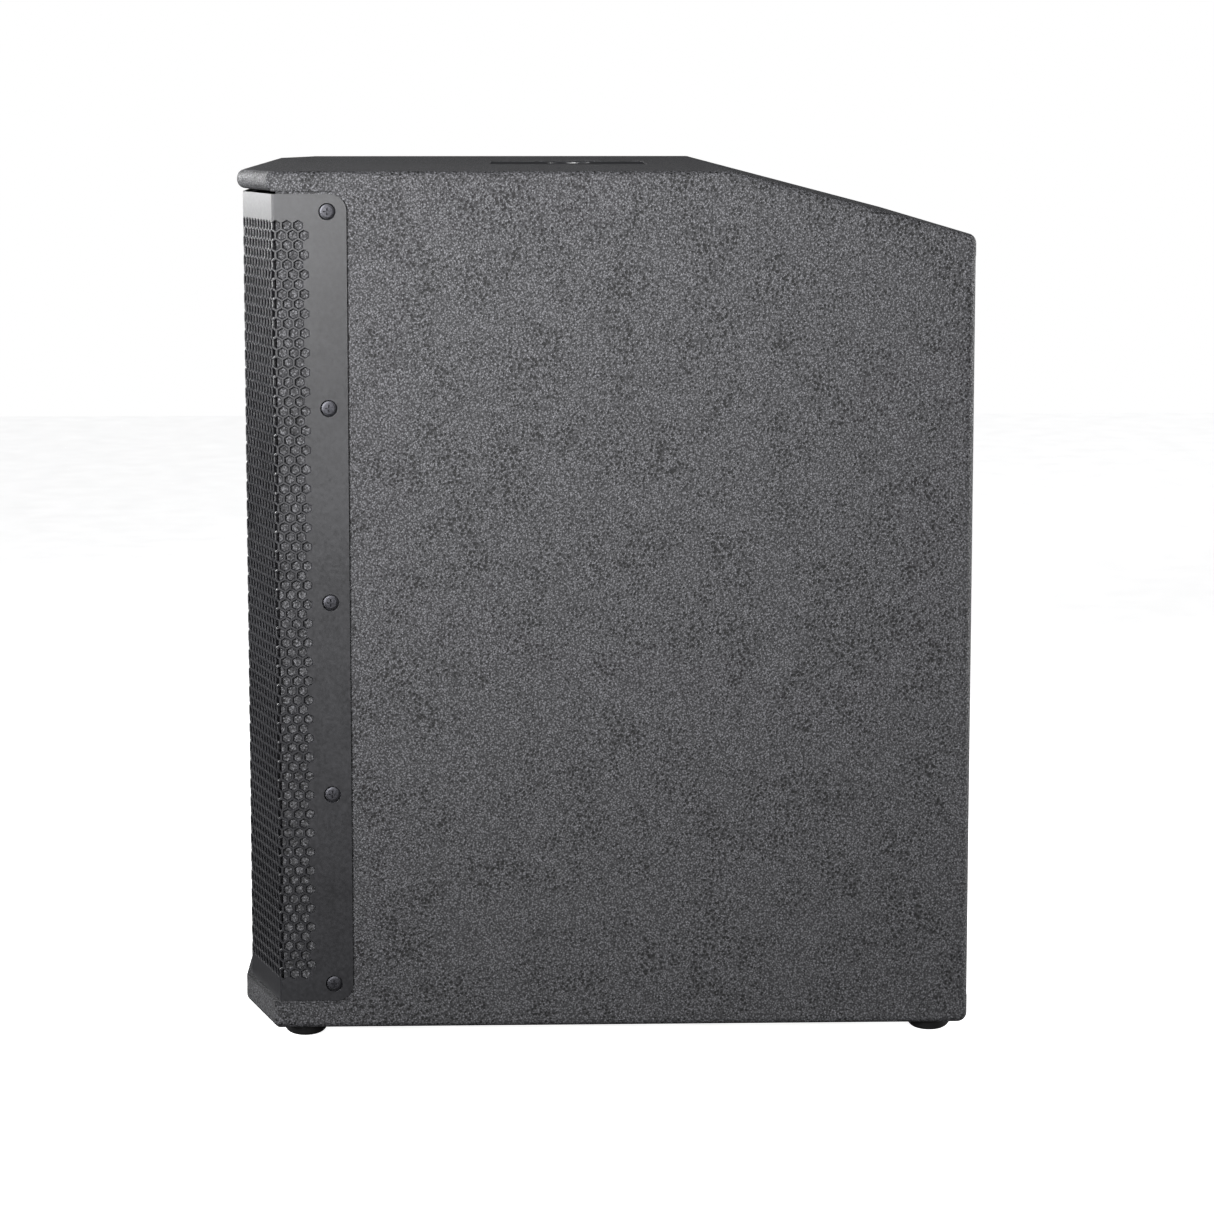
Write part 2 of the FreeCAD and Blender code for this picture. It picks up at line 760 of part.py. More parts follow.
def filter_capacitors():
    return [y_rod(15, x, z, 197.6, 231) for x in (-95, -55) for z in (290, 345)]


def transformer():
    return ring(52, 17, housing_floor_y, 194, Vector(-75, 0, 195))


def output_transistors():
    parts = []
    for index in range(6):
        x = 25 + index * 18
        parts.append(box(x - 7, x + 7, rear_inner_y - 10.5, rear_inner_y - 6, 290, 312))
    return parts


def socket_shell(x):
    """The square flange and round barrel that both kinds of signal socket share."""
    flange = plate(x, control_z, 26, 31, amp_face_y, amp_face_y + 2, 3)
    barrel = y_rod(12, x, control_z, 215.6, amp_face_y + 1)
    shell = flange.fuse(barrel).removeSplitter()
    corners = ((-9.5, 12.0), (9.5, -12.0))
    holes = [y_rod(1.55, x + dx, control_z + dz, amp_face_y - 1, amp_face_y + 3)
             for dx, dz in corners]
    return cut_all(shell, holes)


def contact_places(x):
    angles = [math.radians(angle) for angle in (-90, 30, 150)]
    return [(x + 5 * math.cos(angle), control_z + 5 * math.sin(angle)) for angle in angles]


def input_socket(x):
    slot = ring(9.6, 7.9, 236, amp_face_y + 3, Vector(x, 0, control_z))
    contacts = [y_rod(1.3, cx, cz, 240, amp_face_y + 3) for cx, cz in contact_places(x)]
    latch = box(x - 3.6, x + 3.6, 246, amp_face_y + 3, control_z + 10.6, control_z + 14.3)
    return cut_all(socket_shell(x), [slot, latch] + contacts)


def link_socket(x):
    return socket_shell(x).cut(y_rod(9.5, x, control_z, 237, amp_face_y + 3))


def link_pins(x):
    return [y_rod(1.2, cx, cz, 237, amp_face_y - 3.5) for cx, cz in contact_places(x)]


def latch_button(x):
    tab = box(x - 3.4, x + 3.4, 248, amp_face_y + 3.8, control_z + 10.8, control_z + 14.1)
    return rounded(tab, 0.6, lambda edge: lies_at(edge, y=amp_face_y + 3.8))


def socket_screws():
    screws = []
    for x, kind in socket_places:
        for dx, dz in ((-9.5, 12.0), (9.5, -12.0)):
            place = Vector(x + dx, 0, control_z + dz)
            face = amp_face_y + 2
            profile = [(0, face + 1.3), (2, face + 1), (2.7, face), (1.5, face),
                       (1.5, face - 2), (0, face - 2)]
            screws.append(turned(profile, place))
    return screws


def potentiometer(x):
    case = y_rod(8, x, control_z, 228, 246)
    bush = y_rod(3.5, x, control_z, 245, amp_face_y + 1.7)
    bore = y_rod(3.05, x, control_z, 232, amp_face_y + 3)
    return case.fuse(bush).cut(bore).removeSplitter()


def pot_nut(x):
    corners = [math.radians(angle) for angle in range(30, 390, 60)]
    points = [Vector(x + 6 * math.cos(a), amp_face_y, control_z + 6 * math.sin(a)) for a in corners]
    return prism(points, Vector(0, 1.5, 0)).cut(y_rod(3.55, x, control_z, 240, 270))


def knob_shaft(x):
    return y_rod(3, x, control_z, 233, 260)


def control_knob(x):
    base = amp_face_y + 2.3
    top = rear_y - 1
    profile = [(0, 260.1), (0, top), (knob_radius - 2, top), (knob_radius - 1.2, top - 0.8),
               (knob_radius, base), (3.02, base), (3.02, 260.1)]
    knob = turned(profile, Vector(x, 0, control_z))
    for index in range(18):
        angle = math.radians((index + 0.5) * 20)
        place = Vector(x + (knob_radius + 0.35) * math.cos(angle), 0,
                       control_z + (knob_radius + 0.35) * math.sin(angle))
        knob = knob.cut(y_rod(0.8, place.x, place.z, base - 1, top + 1))
    return knob.cut(box(x - 0.5, x + 0.5, top - 0.6, top + 1, control_z + 2, control_z + 9.5))


def phase_switch():
    case = box(level_x - 5, level_x + 5, 228, 246, small_control_z - 5, small_control_z + 5)
    return case.cut(y_rod(2.1, level_x, small_control_z, 234, 247))


def phase_button():
    stem = y_rod(2, level_x, small_control_z, 238, 251)
    cap = y_rod(3.5, level_x, small_control_z, amp_face_y - 2, amp_face_y + 5)
    cap = rounded(cap, 0.6, lambda edge: abs(edge.CenterOfMass.y - amp_face_y - 5) < 1e-4)
    return cap.fuse(stem).removeSplitter()


def led_places():
    return [crossover_x + step * 9 for step in (-1, 0, 1)]


def status_led(x):
    face = amp_face_y
    edges = [line((0, face - 6), (2.5, face - 6)),
             line((2.5, face - 6), (2.5, face)),
             dome(2.5, face, face + 1.7),
             line((0, face + 1.7), (0, face - 6))]
    return spun(edges, Vector(x, 0, small_control_z), AXIS_Y)


# Mains parts

def rocker_pivot_y():
    return amp_face_y - 6


def rocker_housing():
    flange = plate(rocker_x, power_z, 20, 28, amp_face_y, amp_face_y + 1.8, 2)
    body = box(rocker_x - 8, rocker_x + 8, 230, amp_face_y + 1, power_z - 11.5, power_z + 11.5)
    well = box(rocker_x - 6, rocker_x + 6, 237, amp_face_y + 3, power_z - 10.4, power_z + 10.4)
    pivot = rod(1.56, Vector(rocker_x - 7.4, rocker_pivot_y(), power_z),
                Vector(rocker_x + 7.4, rocker_pivot_y(), power_z))
    return cut_all(flange.fuse(body).removeSplitter(), [well, pivot])


def rocker():
    points = [(-8.8, 1), (-8.8, 8.2), (0, 6.2), (8.8, 8.2), (8.8, 1), (5, -6), (-5, -6)]
    pivot = Vector(rocker_x, rocker_pivot_y(), power_z)
    outline = [pivot + Vector(-5.6, y, z) for z, y in points]
    paddle = prism(outline, Vector(11.2, 0, 0))
    trunnion = rod(1.5, pivot - Vector(7.2, 0, 0), pivot + Vector(7.2, 0, 0))
    paddle = paddle.fuse(trunnion).removeSplitter()
    paddle.rotate(pivot, AXIS_X, -rocker_tilt)
    return paddle


def inlet_housing():
    flange = plate(inlet_x + 6, power_z, 50, 28, amp_face_y, amp_face_y + 2, 4)
    body = box(inlet_x - 15.5, inlet_x + 27.5, 222, amp_face_y + 1, power_z - 10.5, power_z + 10.5)
    chamfer = 5
    wide, tall = 12.3, 8.3
    outline = [(-wide, tall), (wide, tall), (wide, chamfer - tall), (wide - chamfer, -tall),
               (chamfer - wide, -tall), (-wide, chamfer - tall)]
    socket = prism([Vector(inlet_x + x, 237, power_z + z) for x, z in outline], Vector(0, 30, 0))
    drawer_slot = box(inlet_x + 15, inlet_x + 25, 227, 270, power_z - 9, power_z + 9)
    return cut_all(flange.fuse(body).removeSplitter(), [socket, drawer_slot])


def inlet_pins():
    pins = []
    for x, z in ((-7, -2), (7, -2), (0, 3)):
        pins.append(box(inlet_x + x - 1, inlet_x + x + 1, 237, amp_face_y - 3,
                        power_z + z - 2, power_z + z + 2))
    return pins


def fuse_drawer():
    x = inlet_x + 20
    tray = box(x - 4.75, x + 4.75, 228, amp_face_y + 2.3, power_z - 8.75, power_z + 8.75)
    face = box(x - 5.6, x + 5.6, amp_face_y + 2.1, amp_face_y + 4, power_z - 9.8, power_z + 9.8)
    pocket = box(x - 2.7, x + 6, 229.5, 250, power_z - 2.7, power_z + 2.7)
    grip = box(x - 6, x + 6, amp_face_y + 3.2, amp_face_y + 5, power_z - 9.9, power_z - 7)
    return cut_all(tray.fuse(face).removeSplitter(), [pocket, grip])


def fuse_link():
    x = inlet_x + 20
    return y_rod(2.5, x, power_z, 229.7, 249.8)


def build():
    os.makedirs("parts", exist_ok=True)

    save("top_panel", top_panel())
    save("bottom_panel", bottom_panel())
    save("right_side_panel", side_panel(1))
    save("left_side_panel", side_panel(-1))
    save("rear_slope_panel", rear_slope_panel())
    save("rear_panel", rear_panel())
    save("baffle", baffle())
    save("baffle_cleats", baffle_cleats())
    save("cross_brace", cross_brace())
    save("damping_pads", damping_pads())
    save("feet", [foot(place) for place in foot_places()])
    save("foot_screws", [foot_screw(place) for place in foot_places()])

    save("grille", grille())
    save("grille_foam", grille_foam())
    save("grille_screws", [grille_screw(side, z) for side in (-1, 1) for z in screw_heights])

    save("woofer_frame", woofer_frame())
    save("woofer_gasket", woofer_gasket())
    save("woofer_surround", woofer_surround())
    save("woofer_cone", woofer_cone())
    save("woofer_dust_cap", woofer_dust_cap())
    save("woofer_voice_coil", voice_coil())
    save("woofer_spider", woofer_spider())
    save("woofer_top_plate", ring(95, 52.8, -93, -81))
    save("woofer_magnet", ring(110, 60, -81, -56))
    save("woofer_back_plate", woofer_back_plate())
    save("woofer_terminals", woofer_terminals())
    save("woofer_bolts", [woofer_bolt(x, z) for x, z in bolt_places()])
    save("woofer_tee_nuts", [tee_nut(x, z) for x, z in bolt_places()])
    save("right_port_tube", port_tube(1))
    save("left_port_tube", port_tube(-1))
    save("speaker_leads", speaker_leads())

    save("pole_socket", pole_socket())
    save("pole_socket_screws", [pole_screw(place) for place in pole_screw_places()])

    save("amp_mounting_frame", amp_mounting_frame())
    save("amp_plate", amp_plate())
    save("amp_screws", [amp_screw(x, z) for x, z in amp_screw_places()])
    save("amp_heat_sink", heat_sink())
    save("amp_housing", amp_housing())
    save("circuit_boards", circuit_boards())
    save("board_standoffs", board_standoffs())
    save("filter_capacitors", filter_capacitors())
    save("power_transformer", transformer())
    save("output_transistors", output_transistors())

    inputs = [x for x, kind in socket_places if kind == "input"]
    links = [x for x, kind in socket_places if kind == "link"]
    save("input_sockets", [input_socket(x) for x in inputs])
    save("link_sockets", [link_socket(x) for x in links])
    save("contact_pins", [pin for x in links for pin in link_pins(x)] + inlet_pins())
    save("socket_screws", socket_screws())
    save("latch_button_a", latch_button(inputs[0]))
    save("latch_button_b", latch_button(inputs[1]))
    save("potentiometers", [potentiometer(x) for x in (level_x, crossover_x)])
    save("potentiometer_nuts", [pot_nut(x) for x in (level_x, crossover_x)])
    save("level_knob", [control_knob(level_x), knob_shaft(level_x)])
    save("crossover_knob", [control_knob(crossover_x), knob_shaft(crossover_x)])
    save("phase_switch", phase_switch())
    save("phase_button", phase_button())
    save("status_leds", [status_led(x) for x in led_places()])
    save("power_rocker", rocker())
    save("rocker_housing", rocker_housing())
    save("inlet_housing", inlet_housing())
    save("fuse_drawer", [fuse_drawer(), fuse_link()])


build()
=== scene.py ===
import json
import math

import bmesh
import bpy
from mathutils import Matrix, Vector, noise


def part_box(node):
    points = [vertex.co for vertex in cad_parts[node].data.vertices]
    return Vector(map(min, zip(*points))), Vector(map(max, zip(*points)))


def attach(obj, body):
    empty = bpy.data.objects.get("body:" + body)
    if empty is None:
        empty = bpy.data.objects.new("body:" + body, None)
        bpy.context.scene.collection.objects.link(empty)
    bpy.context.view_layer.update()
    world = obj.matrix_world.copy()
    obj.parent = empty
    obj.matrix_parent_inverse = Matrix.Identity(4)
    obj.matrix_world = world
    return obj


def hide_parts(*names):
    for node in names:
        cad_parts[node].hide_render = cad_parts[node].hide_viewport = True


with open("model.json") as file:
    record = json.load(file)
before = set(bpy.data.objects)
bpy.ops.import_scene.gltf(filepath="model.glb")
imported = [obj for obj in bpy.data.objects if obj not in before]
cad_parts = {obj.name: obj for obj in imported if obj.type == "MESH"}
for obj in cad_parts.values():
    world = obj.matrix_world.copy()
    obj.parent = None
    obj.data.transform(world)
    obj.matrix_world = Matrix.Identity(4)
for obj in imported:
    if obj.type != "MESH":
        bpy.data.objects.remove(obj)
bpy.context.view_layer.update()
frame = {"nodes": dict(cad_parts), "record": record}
mm = 0.001
cutGrip = 1e-7              # metres: a point nearer than this to a cutting plane counts as on it
weldReach = 0.01 * mm       # points nearer than this to each other become one
print("frame loaded with", len(frame["nodes"]), "nodes")


# Camera, lights and floor

cameraSettings = {
    "place": (2.658, -0.074, 0.681),
    "turn": -1.83,      # degrees away from straight along -X, towards the rear of the cabinet
    "dip": 6.64,        # degrees below level
    "lens": 99.9,
    "sensor": 36.0,
    "shiftUp": -0.10,
}


def addCamera(settings):
    turn = math.radians(settings["turn"])
    dip = math.radians(settings["dip"])
    forward = Vector((-math.cos(dip) * math.cos(turn), -math.cos(dip) * math.sin(turn), -math.sin(dip)))
    data = bpy.data.cameras.new("camera")
    data.lens = settings["lens"]
    data.sensor_width = settings["sensor"]
    data.shift_y = settings["shiftUp"]
    camera = bpy.data.objects.new("camera", data)
    camera.location = settings["place"]
    camera.rotation_mode = "QUATERNION"
    camera.rotation_quaternion = forward.to_track_quat("-Z", "Y")
    bpy.context.scene.collection.objects.link(camera)
    bpy.context.scene.camera = camera


def addSoftbox(name, settings):
    data = bpy.data.lights.new(name, "AREA")
    data.shape = "RECTANGLE"
    data.size = settings["width"]
    data.size_y = settings["height"]
    data.energy = settings["watts"]
    data.spread = math.radians(settings["spread"])
    box = bpy.data.objects.new(name, data)
    box.location = settings["place"]
    aim = Vector(settings["aim"]) - Vector(settings["place"])
    box.rotation_mode = "QUATERNION"
    box.rotation_quaternion = aim.to_track_quat("-Z", "Y")
    bpy.context.scene.collection.objects.link(box)


softboxes = {
    "keySoftbox": {"place": (2.0, -1.3, 1.0), "aim": (0.29, -0.1, 0.8),
                   "width": 0.8, "height": 0.8, "watts": 16.5, "spread": 56},
    "lensSideSoftbox": {"place": (4.0, -0.7, 1.35), "aim": (0.29, -0.1, 0.65),
                        "width": 1.8, "height": 1.3, "watts": 27, "spread": 90},
    "noseSoftbox": {"place": (-1.7, -1.55, 1.0), "aim": (0.2, -0.25, 0.65),
                    "width": 0.9, "height": 0.8, "watts": 4.4, "spread": 60},
    "frontSoftbox": {"place": (-0.9, -3.0, 0.75), "aim": (-0.05, -0.26, 0.3),
                     "width": 1.4, "height": 1.0, "watts": 9, "spread": 70},
    "rearSoftbox": {"place": (-0.3, 2.4, 0.8), "aim": (0.0, 0.2, 0.35),
                    "width": 1.2, "height": 1.0, "watts": 22, "spread": 80},
}

# The studio's far walls look white to the lens but throw little light on the cabinet.
worldSettings = {"seen": "#ffffff", "ambient": "#2c2d30"}


def linear(hexColour):
    channels = [int(hexColour[start:start + 2], 16) / 255 for start in (1, 3, 5)]
    curved = [c / 12.92 if c <= 0.04045 else ((c + 0.055) / 1.055) ** 2.4 for c in channels]
    return curved + [1.0]


def addNode(tree, kind, settings=None, links=None):
    node = tree.nodes.new(kind)
    for name, value in (settings or {}).items():
        if isinstance(name, int) or name in node.inputs:
            node.inputs[name].default_value = value
        else:
            setattr(node, name, value)
    for name, source in (links or {}).items():
        tree.links.new(source, node.inputs[name])
    return node


def setStops(ramp, stops):
    elements = ramp.color_ramp.elements
    while len(elements) < len(stops):
        elements.new(0.5)
    for element, (position, colour) in zip(elements, stops):
        element.position = position
        element.color = linear(colour)


def makeWorld(settings):
    world = bpy.data.worlds.new("studio")
    world.use_nodes = True
    tree = world.node_tree
    tree.nodes.clear()
    rays = addNode(tree, "ShaderNodeLightPath")
    seen = addNode(tree, "ShaderNodeBackground", {"Color": linear(settings["seen"]), "Strength": 1.0})
    ambient = addNode(tree, "ShaderNodeBackground", {"Color": linear(settings["ambient"]), "Strength": 1.0})
    mix = addNode(tree, "ShaderNodeMixShader", {}, {0: rays.outputs["Is Camera Ray"],
                                                   1: ambient.outputs[0], 2: seen.outputs[0]})
    addNode(tree, "ShaderNodeOutputWorld", {}, {"Surface": mix.outputs[0]})
    bpy.context.scene.world = world


addCamera(cameraSettings)
for softboxName, softboxSettings in softboxes.items():
    addSoftbox(softboxName, softboxSettings)
makeWorld(worldSettings)
bpy.context.scene.view_settings.view_transform = "Standard"
bpy.context.scene.view_settings.look = "None"


# Finishes

def startMaterial(name, stretch=(1, 1, 1)):
    material = bpy.data.materials.new(name)
    material.use_nodes = True
    tree = material.node_tree
    tree.nodes.clear()
    coordinates = addNode(tree, "ShaderNodeTexCoord")
    mapping = addNode(tree, "ShaderNodeMapping", {"Scale": stretch},
                      {"Vector": coordinates.outputs["Object"]})
    return material, tree, mapping.outputs["Vector"]


def finishMaterial(tree, colour, roughness, height, settings):
    # height drives a bump whose depth is a real one, in millimetres
    bump = addNode(tree, "ShaderNodeBump", {"Strength": settings.get("bumpStrength", 1.0),
                                            "Distance": settings["bumpMm"] * mm}, {"Height": height})
    shader = addNode(tree, "ShaderNodeBsdfPrincipled", settings.get("shader"),
                     {"Base Color": colour, "Roughness": roughness, "Normal": bump.outputs["Normal"]})
    addNode(tree, "ShaderNodeOutputMaterial", {}, {"Surface": shader.outputs["BSDF"]})


def perMetre(featureMm):
    return 1000.0 / featureMm


# Sprayed two-part polyurea coating: a dull dark grey skin of soft pebbles about 1.4 mm across, broken
# by open pits. The pits are painted near black and the hollows darker as painted shade, and the crests
# lighter as a painted highlight, with lower roughness on the crests for a faint sparkle.
paintSettings = {
    "pebbleMm": 1.4, "grainMm": 1.0, "pitMm": 3.0, "patchMm": 28.0,
    # the crest colour is a painted highlight; the hollow and pit colours are painted shade
    "skin": "#3a3a3c", "crestHighlight": "#606064", "hollowShade": "#202022", "pitShade": "#070708",
    "roughLow": 0.5, "roughHigh": 0.75,
    "bumpMm": 0.5, "bumpStrength": 0.9,
    "shader": {"Specular IOR Level": 0.35, "IOR": 1.5},
}


def makePaint(name, settings):
    material, tree, place = startMaterial(name)
    grain = addNode(tree, "ShaderNodeTexNoise", {"Scale": perMetre(settings["grainMm"]), "Detail": 2.0,
                                                 "Roughness": 0.6}, {"Vector": place})
    pebbles = addNode(tree, "ShaderNodeTexVoronoi", {"feature": "SMOOTH_F1", "Smoothness": 0.5,
                                                     "Scale": perMetre(settings["pebbleMm"])},
                      {"Vector": place})
    swell = addNode(tree, "ShaderNodeMapRange", {"From Min": 0.0, "From Max": 0.7, "To Min": 0.5,
                                                 "To Max": 0.0}, {"Value": pebbles.outputs["Distance"]})
    crests = addNode(tree, "ShaderNodeMath", {"operation": "MULTIPLY_ADD", 1: 0.75},
                     {0: grain.outputs["Fac"], 2: swell.outputs[0]})
    patches = addNode(tree, "ShaderNodeTexNoise", {"Scale": perMetre(settings["patchMm"]),
                                                   "Detail": 3.0}, {"Vector": place})
    pits = addNode(tree, "ShaderNodeTexVoronoi", {"Scale": perMetre(settings["pitMm"])},
                   {"Vector": place})
    reach = addNode(tree, "ShaderNodeMapRange", {"From Min": 0.35, "From Max": 0.65, "To Min": 0.1,
                                                 "To Max": 0.34}, {"Value": patches.outputs["Fac"]})
    depth = addNode(tree, "ShaderNodeMath", {"operation": "SUBTRACT"},
                    {0: pits.outputs["Distance"], 1: reach.outputs[0]})
    closed = addNode(tree, "ShaderNodeMapRange", {"From Min": -0.04, "From Max": 0.12},
                     {"Value": depth.outputs[0]})
    # pebble crests are painted lighter as a painted highlight, and hollows darker as painted shade
    ramp = addNode(tree, "ShaderNodeValToRGB", {}, {"Fac": crests.outputs[0]})
    setStops(ramp, [(0.4, settings["hollowShade"]), (0.6, settings["skin"]), (0.85, settings["crestHighlight"])])
    # pits are painted near black: painted shade in the pits
    tone = addNode(tree, "ShaderNodeMixRGB", {"Color1": linear(settings["pitShade"])},
                   {"Fac": closed.outputs[0], "Color2": ramp.outputs["Color"]})
    height = addNode(tree, "ShaderNodeMath", {"operation": "MULTIPLY"},
                     {0: crests.outputs[0], 1: closed.outputs[0]})
    rough = addNode(tree, "ShaderNodeMapRange", {"From Min": 0.4, "From Max": 0.85,
                                                 "To Min": settings["roughHigh"],
                                                 "To Max": settings["roughLow"]},
                    {"Value": crests.outputs[0]})
    finishMaterial(tree, tone.outputs["Color"], rough.outputs[0], height.outputs[0], settings)
    return material


